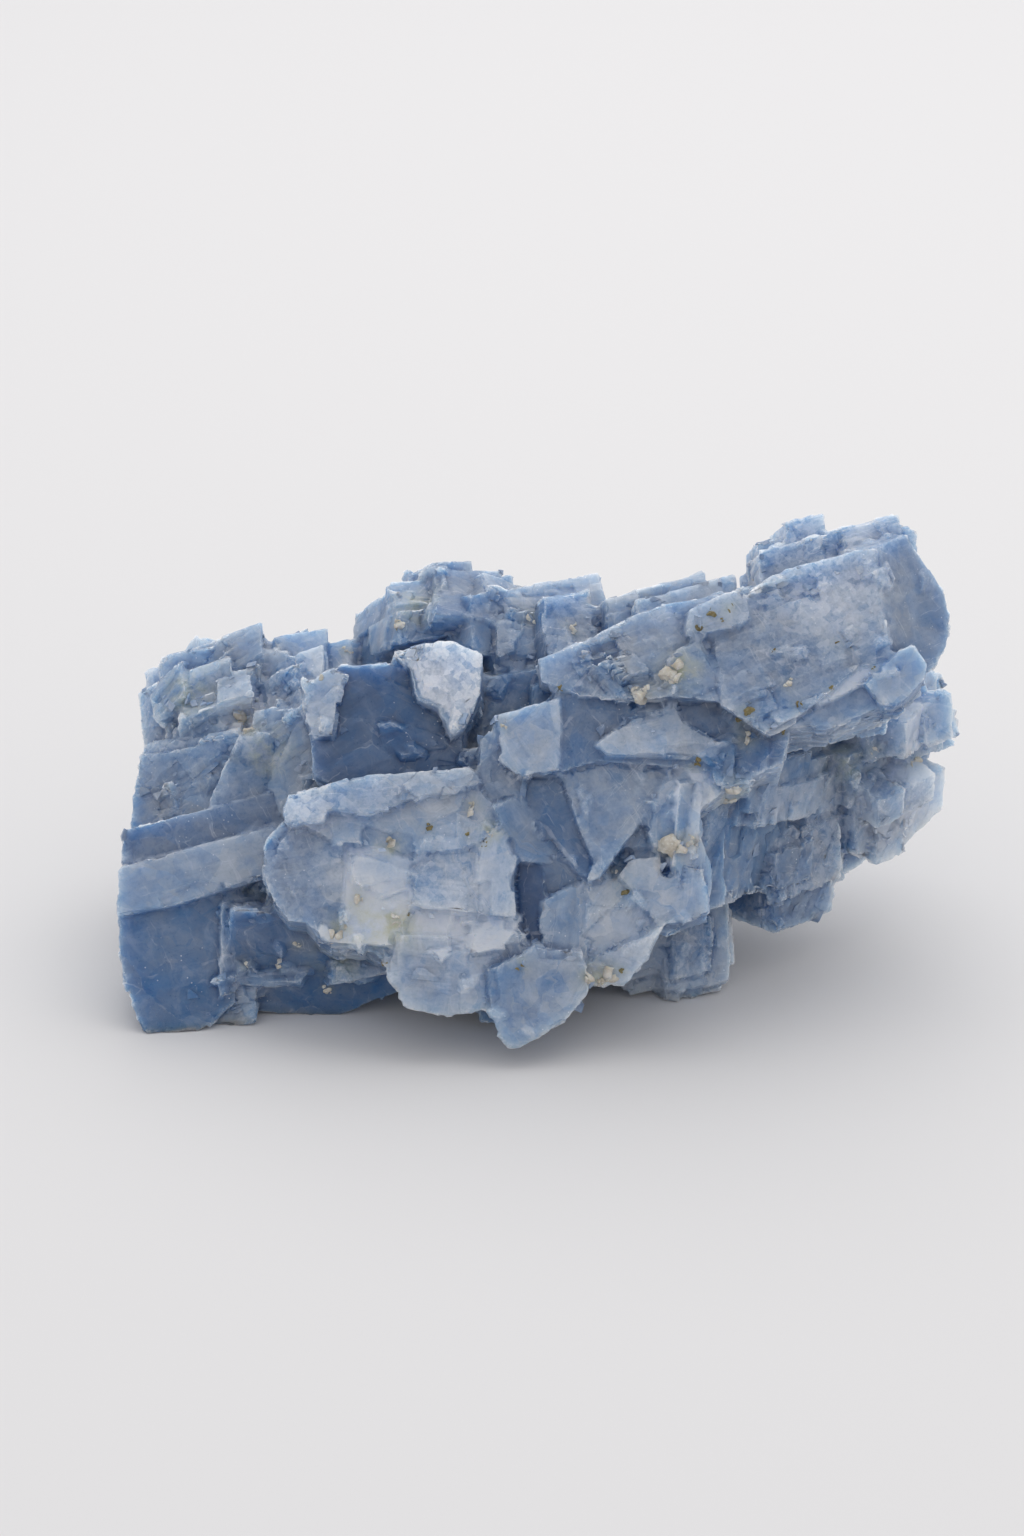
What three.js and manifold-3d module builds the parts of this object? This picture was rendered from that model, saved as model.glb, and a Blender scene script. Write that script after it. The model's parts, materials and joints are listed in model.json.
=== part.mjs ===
// A hand specimen of raw blue calcite: one stone, grown as many crystals locked together.
//
// Calcite splits along three sets of planes, so its crystals break into sheared boxes, called
// rhombs, whose edges meet at 101.9 or 78.1 degrees. All rhombs of one crystal share its three
// edge directions, which makes their faces and steps parallel. The front of this stone is a
// mosaic of flat cleavage plates, each a slab with its own outline, depth and slope.
//
// The crystals are laid out in the slab frame, as if the broad front of the stone stood
// upright: X right, Y back into the stone, Z up along the front, in millimetres. The finished
// stone then leans back and stands on the flats that the ground cuts off its feet.
import * as THREE from "three";
import { MeshSurfaceSampler } from "three/addons/math/MeshSurfaceSampler.js";
import { mergeVertices } from "three/addons/utils/BufferGeometryUtils.js";
import Module from "manifold-3d";

const wasm = await Module();
wasm.setup();

// Driving dimensions, in millimetres and degrees.
const LEAN = 25; // how far the front leans back when the stone stands
const TIP_CLEARANCE = 2.1; // height of the lowest front tip above the ground
const OVERLAP = 0.35; // how far the front plates reach over or under their neighbours
const RHOMB_ANGLE = 101.92; // between two edges at the blunt corner of a calcite rhomb
const STEP_HEIGHT = [0.5, 1.3]; // cleavage steps on the crystals' faces
const STEP_SPREAD = [0.35, 0.85]; // a step's width, as a share of its face
const NOTCH_SHARE = [0.12, 0.34]; // a broken corner's size, as a share of the rhomb
const NOTCH_EXCESS = 1; // how much a broken corner's cut is longer than it has to be
const BUD_SIZE = [1.4, 3.2]; // small crystals that grew on the big ones
const BUD_COUNT = 16;
const BUD_TILT = 0.7; // how far a small crystal may lean away from the face under it
const BUD_SINK = 0.35; // how deep its centre lies under that face, as a share of its size
const LUMP_SIZE = [4, 8.5]; // the rhombs of a lumpy mass
const LUMP_SHAPE = [0.7, 1.3]; // their edge lengths, as shares of one width
const LONG_WAY = [1, 0.1, 0.25]; // how the lumpy masses' first edges run
const STONE_MIDDLE = [0, 17, 25]; // in the slab frame
const BARE_SIDE = -0.25; // no rhombs where a lumpy mass looks this much towards the middle
const HEART_SHARE = 1.15; // the heart of a lumpy mass, as a share of its radii
const WELD = 0.02; // slivers thinner than this are closed
const MERGE_WITHIN = 1e-5; // corners closer than this are one corner
const GROUND_SIZE = [200, 200, 60]; // the block that cuts the feet flat
const CRYSTAL_SEED = 1; // the first seeds of the crystals, the lumpy masses and the buds
const CLUSTER_SEED = 31;
const BUD_SEED = 99;
const GOLDEN_ANGLE = 137.5; // spreads the rhombs of a cluster evenly

const degrees = THREE.MathUtils.degToRad;
const vector = (v) => new THREE.Vector3(...v);

// A repeatable stream of numbers from 0 to 1, one for each crystal: a linear congruential
// generator, of which the top 24 bits are used.
const STREAM_GAP = 7919;
const STREAM_FACTOR = 1664525;
const STREAM_STEP = 1013904223;

function stream(seed) {
  let state = seed * STREAM_GAP;
  return () => {
    state = (Math.imul(state, STREAM_FACTOR) + STREAM_STEP) >>> 0;
    return (state >>> 8) / 2 ** 24;
  };
}

const between = ([low, high], random) => low + (high - low) * random();

function solidOf(geometry) {
  const bare = geometry.clone();
  bare.deleteAttribute("normal");
  bare.deleteAttribute("uv");
  const merged = mergeVertices(bare, MERGE_WITHIN);
  return new wasm.Manifold(
    new wasm.Mesh({
      numProp: 3,
      vertProperties: new Float32Array(merged.attributes.position.array),
      triVerts: new Uint32Array(merged.index.array),
    }),
  );
}

function geometryOf(solid) {
  const mesh = solid.getMesh();
  const geometry = new THREE.BufferGeometry();
  geometry.setAttribute("position", new THREE.BufferAttribute(mesh.vertProperties, 3));
  geometry.setIndex(new THREE.BufferAttribute(mesh.triVerts, 1));
  return geometry;
}

const union = (solids) => solids.reduce((whole, solid) => whole.add(solid));

// The three edge directions of a crystal. The first two span the face whose outward normal is
// `facing`; the first runs along `along`, and the third leads from that face into the crystal.
function edgeDirections(facing, along) {
  const normal = vector(facing).normalize();
  const first = vector(along).projectOnPlane(normal).normalize();
  const angle = degrees(RHOMB_ANGLE);
  const second = first.clone().applyAxisAngle(normal, -angle);
  const cosine = Math.cos(angle);
  const sideways = first.clone().add(second).multiplyScalar(cosine / (1 + cosine));
  const inward = -Math.sqrt(1 - sideways.lengthSq());
  const third = normal.clone().multiplyScalar(inward).add(sideways);
  return [first, second, third];
}

// A sheared box centred at `at`, with edge lengths `size` along the crystal's directions.
function rhomb(edges, at, size) {
  const basis = new THREE.Matrix4().makeBasis(...edges);
  if (basis.determinant() < 0) basis.makeBasis(edges[0], edges[1], edges[2].clone().negate());
  basis.setPosition(at);
  return solidOf(new THREE.BoxGeometry(...size).applyMatrix4(basis));
}

// One rhomb as it really breaks: thin steps left standing on its faces and corners gone.
function brokenRhomb(edges, at, size, steps, notches, random) {
  let solid = rhomb(edges, at, size);
  for (let i = 0; i < steps; i++) {
    const axis = Math.floor(random() * 3);
    const side = random() < 0.5 ? -1 : 1;
    const plate = size.map((s) => s * between(STEP_SPREAD, random));
    const centre = at.clone();
    edges.forEach((edge, k) => {
      if (k !== axis) centre.addScaledVector(edge, (random() - 0.5) * (size[k] - plate[k]));
    });
    plate[axis] = between(STEP_HEIGHT, random) * 2;
    centre.addScaledVector(edges[axis], (side * size[axis]) / 2);
    solid = solid.add(rhomb(edges, centre, plate));
  }
  for (let i = 0; i < notches; i++) {
    const bite = size.map((s) => s * between(NOTCH_SHARE, random));
    const long = Math.floor(random() * 3);
    bite[long] = size[long] * between(STEP_SPREAD, random);
    const centre = at.clone();
    edges.forEach((edge, k) => {
      const side = random() < 0.5 ? -1 : 1;
      const reach = k === long ? size[k] - bite[k] + NOTCH_EXCESS : size[k] + STEP_HEIGHT[0];
      centre.addScaledVector(edge, (side * reach) / 2);
    });
    solid = solid.subtract(rhomb(edges, centre, bite));
  }
  return solid;
}

// A crystal made of broken rhombs. `facing` is the way its main face looks and `along` the way
// its first edge runs; a block is its centre and its edge lengths [along, across, deep].
function crystal({ facing, along, steps = 4, notches = 3, blocks }, seed) {
  const edges = edgeDirections(facing, along);
  const random = stream(seed);
  return union(
    blocks.map(([at, size]) => brokenRhomb(edges, vector(at), size, steps, notches, random)),
  );
}

// A lumpy mass: rhombs set evenly over an egg, around a rhomb at its heart. They share one
// lattice, or each one leans away from it by up to `lean`. The side of the egg that is turned
// to the middle of the stone stays bare.
function cluster({ at, radii, facing, along = LONG_WAY, count = 15, lumps = LUMP_SIZE, lean = 0 }, seed) {
  const edges = edgeDirections(facing, along);
  const random = stream(seed);
  const tilted = () => edgeDirections(facing.map((f) => f + (random() - 0.5) * lean), along);
  const middle = vector(at);
  const outward = middle.clone().sub(vector(STONE_MIDDLE)).normalize();
  const rhombs = [rhomb(edges, middle, radii.map((r) => r * HEART_SHARE))];
  for (let i = 0; i < count; i++) {
    const polar = Math.acos(1 - (2 * i + 1) / count);
    const out = new THREE.Vector3().setFromSphericalCoords(1, polar, degrees(GOLDEN_ANGLE) * i);
    const width = between(lumps, random);
    const size = [0, 1, 2].map(() => width * between(LUMP_SHAPE, random));
    if (out.dot(outward) > BARE_SIDE) {
      const shell = vector(radii.map((r) => r - width / 2));
      const directions = lean > 0 ? tilted() : edges;
      rhombs.push(rhomb(directions, out.multiply(shell).add(middle), size));
    }
  }
  return union(rhombs);
}

// A cleavage plate of the front mosaic: the outline [x, z] of its face, which lies at depth y
// and slopes back by `right` to the right and by `up` upwards. It runs `deep` into the stone,
// along a direction that leans by `lean` sideways and upwards.
function plate({ y, right = 0, up = 0, deep = 8, lean = [0, -0.25], outline }) {
  const corners = outline.map(([x, z]) => new THREE.Vector2(x, z));
  const centre = new THREE.Vector2();
  corners.forEach((corner) => centre.addScaledVector(corner, 1 / corners.length));
  corners.forEach((corner) => corner.sub(centre));
  corners.forEach((corner) => corner.setLength(corner.length() + OVERLAP));
  const shape = new THREE.Shape(corners);
  const geometry = new THREE.ExtrudeGeometry(shape, { depth: deep, bevelEnabled: false });
  const out = vector([-lean[0], -1, -lean[1]]);
  const place = new THREE.Matrix4().makeBasis(vector([1, right, 0]), vector([0, up, 1]), out);
  place.setPosition(vector([centre.x, y, centre.y]).addScaledVector(out, -deep));
  return solidOf(geometry.applyMatrix4(place));
}

const PLATES = {
  // The foot on the left, with two long bands above it that rise to the right.
  footFront: {
    y: 6.8, right: 0.1, deep: 15, lean: [0, 0.1],
    outline: [[-41.8, 13.2], [-41.7, 9], [-41, 5], [-39.4, 1], [-36, 0.2], [-33.4, 1.8],
      [-31.2, 3.9], [-30.4, 8], [-30.6, 14], [-35, 15]],
  },
  footEdge: {
    y: 7.6, right: 0.5, deep: 8, lean: [0, 0.1],
    outline: [[-31.6, 13.6], [-31.8, 4.6], [-30.4, 5], [-28.6, 9], [-27.4, 10.8], [-25.8, 12],
      [-27.6, 14.3], [-30.6, 14]],
  },
  shelf: {
    y: 8, up: -0.55, deep: 12, lean: [0, 0.2],
    outline: [[-31.5, 3.8], [-28, 3], [-21.5, 2.2], [-18, 3.6], [-13.5, 5.4], [-11.5, 8],
      [-11.5, 12.5], [-30.5, 13]],
  },
  bandLower: {
    y: 6.4, up: 0.22, right: -0.03, deep: 13,
    outline: [[-41.9, 12.8], [-42, 17.4], [-34, 19.3], [-26, 21.8], [-25, 17.6], [-30, 16],
      [-36, 14]],
  },
  bandUpper: {
    y: 8.2, up: 0.3, right: -0.03, deep: 12,
    outline: [[-41.8, 18.2], [-41.6, 21.2], [-34, 22.8], [-25.4, 25.2], [-25.4, 22.4],
      [-33, 20.2]],
  },
  // The tip that hangs lowest at the front.
  tip: {
    y: -0.8, up: -0.1, right: 0.08, deep: 9, lean: [0.1, 0.5],
    outline: [[-5, 7.2], [-4.6, 3.8], [-3.9, 1.4], [-2.9, 0], [-1.8, 0.1], [0.2, 1.4],
      [2.2, 2.6], [3.4, 4], [4.4, 5.6], [4.2, 7.6], [3.6, 9], [-1, 9.4]],
  },
  // What the mosaic of the lower front is set in, seen only in its grooves.
  bedding: {
    y: 1.1, up: 0.1, deep: 8,
    outline: [[-23.5, 23.5], [-22.5, 12.5], [-13, 8], [-6, 5], [-1, 5], [5, 8.5], [10, 12.5],
      [14.5, 15], [15, 28], [17, 35], [2, 35], [-4, 30], [-5, 26], [-8, 24.8]],
  },
  beddingLeft: {
    y: 8.6, up: 0.1, deep: 10,
    outline: [[-33, 24], [-33, 6], [-24, 6], [-20, 12], [-20, 30], [-30, 31]],
  },
  // The pale group left of the tip, bright where it faces up.
  skirt: {
    y: -0.75, up: -0.12, deep: 8, lean: [0, 0.4],
    outline: [[-14.4, 10.6], [-14.7, 6.5], [-13.7, 5.2], [-12.9, 3.8], [-10, 3.1], [-7.6, 3.2],
      [-7.4, 10.6]],
  },
  skirtRight: {
    y: -0.5, up: -0.05, right: 0.15, deep: 8, lean: [0, 0.4],
    outline: [[-7.7, 3.2], [-4.6, 3.9], [-4.4, 6.4], [-2.2, 8], [-2.1, 12.4], [-7.7, 12]],
  },
  brightLower: {
    y: -0.95, up: 0.22, right: -0.04, deep: 6,
    outline: [[-13.1, 12], [-12.6, 10.3], [-10.9, 9.7], [-9.5, 8.6], [-8.3, 9.9], [-6.4, 9.4],
      [-3.8, 10], [-2.3, 11.8], [-2.6, 12.8], [-7, 13.2], [-12, 13.9]],
  },
  brightUpper: {
    y: -0.6, up: 0.26, deep: 8,
    outline: [[-12.6, 14.2], [-6.4, 13.5], [-6.3, 18.8], [-8, 18.9], [-10, 19.6], [-12.7, 18.8]],
  },
  brightRight: {
    y: -0.7, up: 0.2, right: 0.06, deep: 8,
    outline: [[-6, 13.4], [-2.5, 13.1], [-2.9, 16.5], [-2.5, 18.2], [-3.9, 21.6], [-5.2, 20.6],
      [-6, 18.9]],
  },
  leftPlate: {
    y: 0.4, right: -0.12, up: 0.08, deep: 8,
    outline: [[-27.2, 19.3], [-26.8, 16], [-26, 14.2], [-24.8, 12.8], [-23.2, 12.6],
      [-22, 11.2], [-19.8, 10.8], [-19.5, 20.6], [-21, 21.7], [-25.4, 21.8]],
  },
  paleStep: {
    y: -0.15, right: -0.08, up: 0.12, deep: 7,
    outline: [[-21.1, 20], [-20.5, 17.5], [-21.3, 15.7], [-21, 13], [-21.9, 11.2],
      [-20.5, 10.4], [-14.4, 10.1], [-13.4, 12.5], [-12.3, 14.5], [-11.7, 19.1], [-15.5, 19.8]],
  },
  paleStepUpper: {
    y: -0.4, right: -0.05, up: 0.16, deep: 5,
    outline: [[-18.6, 18.7], [-18.2, 16.4], [-15.8, 14.9], [-13.2, 15.8], [-12.6, 18.4],
      [-15, 19.1]],
  },
  bar: {
    y: 0, up: 0.3, right: 0.02, deep: 7,
    outline: [[-24.5, 24.8], [-25, 23], [-24.6, 22], [-21, 22.2], [-20.6, 23.3], [-17, 23],
      [-13.5, 24.1], [-6.4, 25.8], [-7.3, 27.3], [-13, 26.9], [-18.5, 25.9]],
  },
  barUnder: {
    y: 0.35, up: 0.28, deep: 7,
    outline: [[-24.4, 22.4], [-20.5, 20.4], [-15, 19.8], [-11.5, 19.2], [-9, 19.4], [-4.8, 20],
      [-4.2, 23.4], [-6.2, 25.9], [-14, 25.2], [-22, 24]],
  },
  // The dark hollow face with the frosted crystal above its right end.
  darkFace: {
    y: 4.2, right: 0.06, up: 0.12, deep: 10,
    outline: [[-22.4, 36], [-23.2, 34], [-22.6, 31], [-22.3, 27], [-20, 25.9], [-13, 26.8],
      [-8.2, 27.8], [-7.6, 31], [-9.5, 33], [-12, 36], [-15, 37.6], [-20, 37.2]],
  },
  darkFaceRim: {
    y: 3.6, right: -0.3, up: 0.2, deep: 8,
    outline: [[-23, 35.4], [-23.4, 33.6], [-22.4, 30.6], [-20.6, 31], [-20.4, 34], [-19.6, 36.6],
      [-21.4, 37]],
  },
  frosted: {
    y: 3, right: -0.1, up: 0.3, deep: 12,
    outline: [[-14.4, 38.6], [-12.6, 37], [-12, 34.5], [-10, 33.8], [-8.8, 31.2], [-7.4, 32],
      [-6.3, 35], [-6, 38.5], [-9, 39.8], [-12, 39.5]],
  },
  // The small pale rhomb beside the deep hole, and the prisms that slant down from it.
  paleRhomb: {
    y: -0.2, up: 0.18, deep: 9, lean: [0.1, -0.1],
    outline: [[-4, 32.4], [1.7, 34], [1.8, 31], [1.5, 27.3], [-2.2, 27], [-3.8, 28.3]],
  },
  besideHole: {
    y: 0.8, right: -0.2, deep: 8,
    outline: [[-5.8, 30.4], [-3.6, 31], [-2, 27.2], [-1.8, 24.4], [-4.6, 23.6], [-5.9, 26.6]],
  },
  prismLow: {
    y: 0.2, right: 0.15, up: 0.1, deep: 7,
    outline: [[-4.5, 23.6], [-1.8, 24.4], [0.2, 21], [3, 18.1], [0.2, 18.2], [-2.1, 18.5],
      [-3.7, 21.9]],
  },
  prismMiddle: {
    y: 0.4, right: -0.05, up: 0.1, deep: 7,
    outline: [[-1.9, 26.7], [1.6, 27.3], [2.6, 25.3], [3.8, 22], [5.2, 18.5], [3.9, 17],
      [0, 21.4], [-1.7, 24.4]],
  },
  prismBroad: {
    y: -0.1, right: 0.04, up: 0.16, deep: 7,
    outline: [[1.9, 27.6], [7, 28.7], [10.6, 28.6], [11.9, 25.2], [11, 23.9], [8, 20.1],
      [5.9, 17], [4.6, 16.7], [5.3, 18.5], [3.8, 22.4], [2.6, 25.4]],
  },
  underPrisms: {
    y: 0.5, up: -0.1, deep: 6,
    outline: [[0, 18.4], [3, 18.3], [4.8, 16.4], [1.2, 13.8], [0.2, 14.6]],
  },
  blueLens: {
    y: 0.25, right: -0.12, up: 0.05, deep: 7,
    outline: [[-3.5, 15.2], [-2.4, 18.7], [0.1, 18.3], [0.4, 12], [-0.1, 8.6], [-2, 9],
      [-2.3, 12.5]],
  },
  stripedRhomb: {
    y: -0.1, right: 0.1, up: 0.06, deep: 6,
    outline: [[0.3, 14], [4.4, 16.4], [4.7, 14.8], [4.9, 11], [4.3, 9.2], [2.5, 8.3], [1, 9],
      [0.2, 11.7]],
  },
  // The cluster that closes the front on the right of the tip.
  pebble: {
    y: -0.1, up: 0.2, deep: 5,
    outline: [[4.9, 14.8], [5.3, 16.1], [8.6, 16.6], [8.6, 15], [8, 14], [5.3, 13.8]],
  },
  cheek: {
    y: 0.1, up: -0.08, right: 0.05, deep: 7, lean: [0, 0.3],
    outline: [[4.7, 13.7], [8, 14.1], [10.2, 14.7], [11.6, 12.1], [8.4, 8.8], [6.8, 8],
      [4.9, 8.4], [4.5, 11]],
  },
  cheekLip: {
    y: 0.4, up: -0.3, deep: 6, lean: [0.1, 0.5],
    outline: [[4.2, 8.6], [4.4, 6.2], [5.6, 5.7], [7, 6.1], [8.2, 6], [10, 8], [12.2, 12],
      [9.4, 10.3], [6.6, 8.8]],
  },
  scale: {
    y: -0.3, up: 0.06, deep: 5,
    outline: [[7.9, 16.7], [9.2, 18.4], [11.9, 18.5], [12, 16.4], [13, 16.3], [13.1, 17.4],
      [16, 17], [16.2, 13.3], [13.4, 12.4], [11.6, 12.4], [10.4, 14.2], [8.9, 15.6]],
  },
  column: {
    y: 0.5, right: 0.55, deep: 8, lean: [-0.2, 0],
    outline: [[13.8, 25.6], [15.7, 25.6], [15.6, 20.6], [16.4, 18.3], [16.9, 16], [16.4, 13.4],
      [14.2, 13.1], [13.4, 18]],
  },
  brow: {
    y: 0.1, up: 0.1, right: 0.05, deep: 7,
    outline: [[11.8, 25.2], [14, 26.6], [15.8, 26], [15.5, 21], [15, 19], [11.3, 19.8],
      [10.8, 21.5]],
  },
  underBrow: {
    y: 0.9, deep: 7,
    outline: [[4.6, 16.4], [8, 20], [11.4, 23.8], [14.8, 20.6], [14, 17], [8.4, 15.6]],
  },
  notchFace: {
    y: 0.6, right: 0.1, deep: 6,
    outline: [[14, 27.9], [17.2, 28.6], [17.6, 26], [18.2, 25.4], [15.9, 23.6], [15.4, 25.8]],
  },
  lump: {
    y: 0.2, right: 0.2, up: 0.2, deep: 6,
    outline: [[17, 29.4], [19.6, 29.6], [20.8, 27.4], [20.6, 26.2], [18, 25.6], [17.3, 27]],
  },
  apron: {
    y: 0.7, right: 0.04, up: 0.2, deep: 10,
    outline: [[1.6, 34.2], [5, 35.6], [12, 36], [18, 34.6], [24.2, 30.6], [23.6, 27.8],
      [20, 26.8], [12, 28], [6, 28.2], [1.4, 27]],
  },
  apronPale: {
    y: 0.15, up: 0.25, right: 0.06, deep: 6,
    outline: [[5.6, 29.8], [9.4, 32.4], [13.4, 33.2], [14, 31.6], [17.2, 30], [19, 30.6],
      [17, 28.4], [12, 28.9], [7, 28.6]],
  },
  // The long beam that rises to the right, with what is stuck on it.
  beamFront: {
    y: 0, up: 0.26, right: -0.02, deep: 12, lean: [0.1, -0.1],
    outline: [[17.4, 40], [19.6, 44], [24, 46.6], [33.3, 49.2], [33.9, 41], [34.2, 38],
      [31, 37.3], [27.5, 34.5], [25, 32.6], [22, 31], [18, 33.6]],
  },
  beamPlank: {
    y: 1.4, up: 0.36, right: -0.08, deep: 12, lean: [0, -0.1],
    outline: [[0.2, 38.2], [5, 40], [9.8, 42.4], [15, 43.8], [20, 45], [20, 34], [12, 34.4],
      [4, 34.8], [0.4, 36]],
  },
  beamEnd: {
    y: 4.9, right: 0.9, up: 0.26, deep: 9, lean: [-0.5, 0],
    outline: [[33.2, 49], [36.8, 50.4], [38.6, 47.4], [40.4, 44.6], [40.9, 42], [40.3, 39.4],
      [38.8, 37], [34.2, 37.6]],
  },
  beamLip: {
    y: 0.2, up: -0.1, deep: 7,
    outline: [[24, 31.4], [29, 31.7], [33.4, 33.4], [34.4, 34.4], [34.4, 38], [29, 36],
      [25, 33.6]],
  },
  beamSliver: {
    y: -0.4, up: 0.1, deep: 4,
    outline: [[27.6, 33.7], [27.3, 35], [29, 36.3], [31.5, 37.4], [35.2, 38], [35.2, 36.8],
      [32.2, 36], [30, 34.8]],
  },
  beamRhomb: {
    y: -0.9, right: 0.12, up: 0.06, deep: 6,
    outline: [[32, 35.8], [33.9, 33.7], [35.6, 34.2], [37.5, 36.2], [37.8, 37.5], [36.5, 39.3],
      [35.4, 38.7]],
  },
  tanGrainSeat: {
    y: -0.3, up: 0.2, deep: 5,
    outline: [[12.3, 35.8], [12.8, 38], [13.6, 38.7], [15.5, 40], [17.1, 36.5], [16.8, 35.5],
      [14.8, 34.8]],
  },
  beamCrust: {
    y: 0.5, up: 0.4, deep: 5,
    outline: [[14.4, 41], [15, 43], [18.7, 44.5], [20.2, 44], [20.4, 42.2], [18.9, 41.3],
      [16.5, 40.8]],
  },
};

// The deeper masses, each a few rhombs of one crystal.
const CRYSTALS = {
  foot: {
    facing: [-0.15, -1, 0.05],
    along: [0.97, 0, 0.1],
    blocks: [[[-34, 16.5, 9], [11, 13, 16]]],
  },
  leftWall: {
    facing: [-0.4, -0.9, 0.15],
    along: [0.97, -0.3, 0.12],
    blocks: [
      [[-35, 19, 26], [11, 10, 14]],
      [[-25, 15, 28.5], [8, 11, 12]],
    ],
  },
  recessWall: {
    facing: [0.75, -0.6, -0.2],
    along: [0.6, 0.75, 0.15],
    blocks: [
      [[16, 13, 22], [20, 12, 12]],
      [[21, 16, 28], [20, 8, 12]],
    ],
  },
  core: {
    facing: [0, -1, 0.1],
    along: [1, 0, 0.2],
    steps: 0,
    notches: 0,
    blocks: [
      [[-28, 21, 22], [18, 18, 14]],
      [[-12, 19, 23], [24, 28, 22]],
      [[6, 19, 26], [20, 26, 24]],
      [[22, 17, 36], [22, 12, 18]],
      [[-18, 23, 31], [28, 16, 16]],
      [[12, 22, 37], [34, 12, 16]],
    ],
  },
};

// Lumpy masses, each a crystal of many small rhombs packed over an egg-shaped heart.
const CLUSTERS = {
  leftTop: {
    at: [-31.8, 21, 33.4], radii: [9.3, 9, 7.5], facing: [-0.5, -0.8, 0.3],
    count: 30, lumps: [3.5, 6], lean: 0.7,
  },
  leftCrest: {
    at: [-24, 20, 34.5], radii: [8, 8, 6], facing: [-0.1, -0.8, 0.5],
    count: 24, lumps: [3.5, 6.5], lean: 1,
  },
  hump: {
    at: [-9, 20, 40.6], radii: [9.5, 8, 7.5], facing: [0.3, -0.8, 0.5],
    count: 26, lumps: [4, 7], lean: 0.8,
  },
  humpRight: { at: [2.2, 17, 38.8], radii: [8, 7, 6.5], facing: [0.1, -0.9, 0.5] },
  ridgeLow: { at: [14.5, 13, 39.8], radii: [8, 6, 6], facing: [-0.1, -0.9, 0.35] },
  ridgeHigh: { at: [25.2, 13, 44.5], radii: [6, 6, 7.5], facing: [-0.1, -0.9, 0.35] },
  ridgeEnd: { at: [31.5, 12, 46.2], radii: [6, 5, 5], facing: [0, -0.9, 0.35] },
  rightShoulder: {
    at: [35.4, 23, 32.4], radii: [7.3, 8, 4.2], facing: [0.6, -0.7, 0.1],
    lumps: [3.5, 7], lean: 0.6,
  },
  rightFlank: {
    at: [33, 22, 25], radii: [8, 7, 6.5], facing: [0.6, -0.7, -0.2],
    lumps: [3.5, 7], lean: 0.6,
  },
  rightFoot: { at: [23.8, 20, 18.6], radii: [5, 6, 5], facing: [0.5, -0.8, -0.1] },
  frontFoot: { at: [13.8, 16.5, 10], radii: [4.2, 5.5, 5.5], facing: [0.3, -0.9, 0.1] },
  middleFoot: { at: [9, 16.5, 11], radii: [6, 6, 5], facing: [0.1, -0.9, -0.2] },
  backLeft: {
    at: [-27, 26, 23], radii: [12.5, 9, 12], facing: [-0.4, 0.9, 0.2],
    count: 16, lumps: [7, 11],
  },
  backMiddle: {
    at: [-7, 26, 30], radii: [13, 10, 13], facing: [0.1, 0.9, 0.3],
    count: 16, lumps: [7, 11],
  },
  backRight: {
    at: [15, 25, 31], radii: [13, 9, 12], facing: [0.3, 0.9, 0.2],
    count: 16, lumps: [7, 11],
  },
  backFoot: {
    at: [0, 27, 18], radii: [15, 8, 9], facing: [0, 0.9, -0.2],
    count: 16, lumps: [6, 10],
  },
};

// Small crystals that grew out of the faces of the big ones, leaning a little each way.
function withBuds(solid, count, seed) {
  const random = stream(seed);
  const sampler = new MeshSurfaceSampler(new THREE.Mesh(geometryOf(solid).toNonIndexed()));
  sampler.setRandomGenerator(random).build();
  const at = new THREE.Vector3();
  const normal = new THREE.Vector3();
  const grown = [solid];
  for (let i = 0; i < count; i++) {
    sampler.sample(at, normal);
    const facing = normal.toArray().map((n) => n + (random() - 0.5) * BUD_TILT);
    const along = [0, 1, 2].map(() => random() - 0.5);
    const size = [0, 1, 2].map(() => between(BUD_SIZE, random));
    at.addScaledVector(normal, -size[2] * BUD_SINK);
    grown.push(rhomb(edgeDirections(facing, along), at, size));
  }
  return union(grown);
}

// The ground: a wide block whose top lies just under the tip once the stone leans back.
function ground() {
  const block = new THREE.BoxGeometry(...GROUND_SIZE);
  block.translate(0, 0, -GROUND_SIZE[2] / 2 - TIP_CLEARANCE);
  return solidOf(block.rotateX(degrees(LEAN)));
}

const grown = union([
  ...Object.values(CRYSTALS).map((spec, i) => crystal(spec, i + CRYSTAL_SEED)),
  ...Object.values(CLUSTERS).map((spec, i) => cluster(spec, i + CLUSTER_SEED)),
  ...Object.values(PLATES).map(plate),
]);
const rough = withBuds(grown, BUD_COUNT, BUD_SEED).subtract(ground()).simplify(WELD);
const [stone] = rough.decompose().sort((a, b) => b.volume() - a.volume());

const mesh = new THREE.Mesh(
  geometryOf(stone),
  new THREE.MeshStandardMaterial({ color: 0x7f9cc4, roughness: 0.45, metalness: 0 }),
);
mesh.name = "calcite";
mesh.rotation.x = -degrees(LEAN);
const box = new THREE.Box3().setFromObject(mesh, true);
const middle = box.getCenter(new THREE.Vector3());
mesh.position.set(-middle.x, -middle.y, -box.min.z);

const specimen = new THREE.Group();
specimen.add(mesh);
export default specimen;
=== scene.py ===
import json
import math
import random

import bpy
import numpy as np
from mathutils import Matrix, Vector
from mathutils.bvhtree import BVHTree

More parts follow.
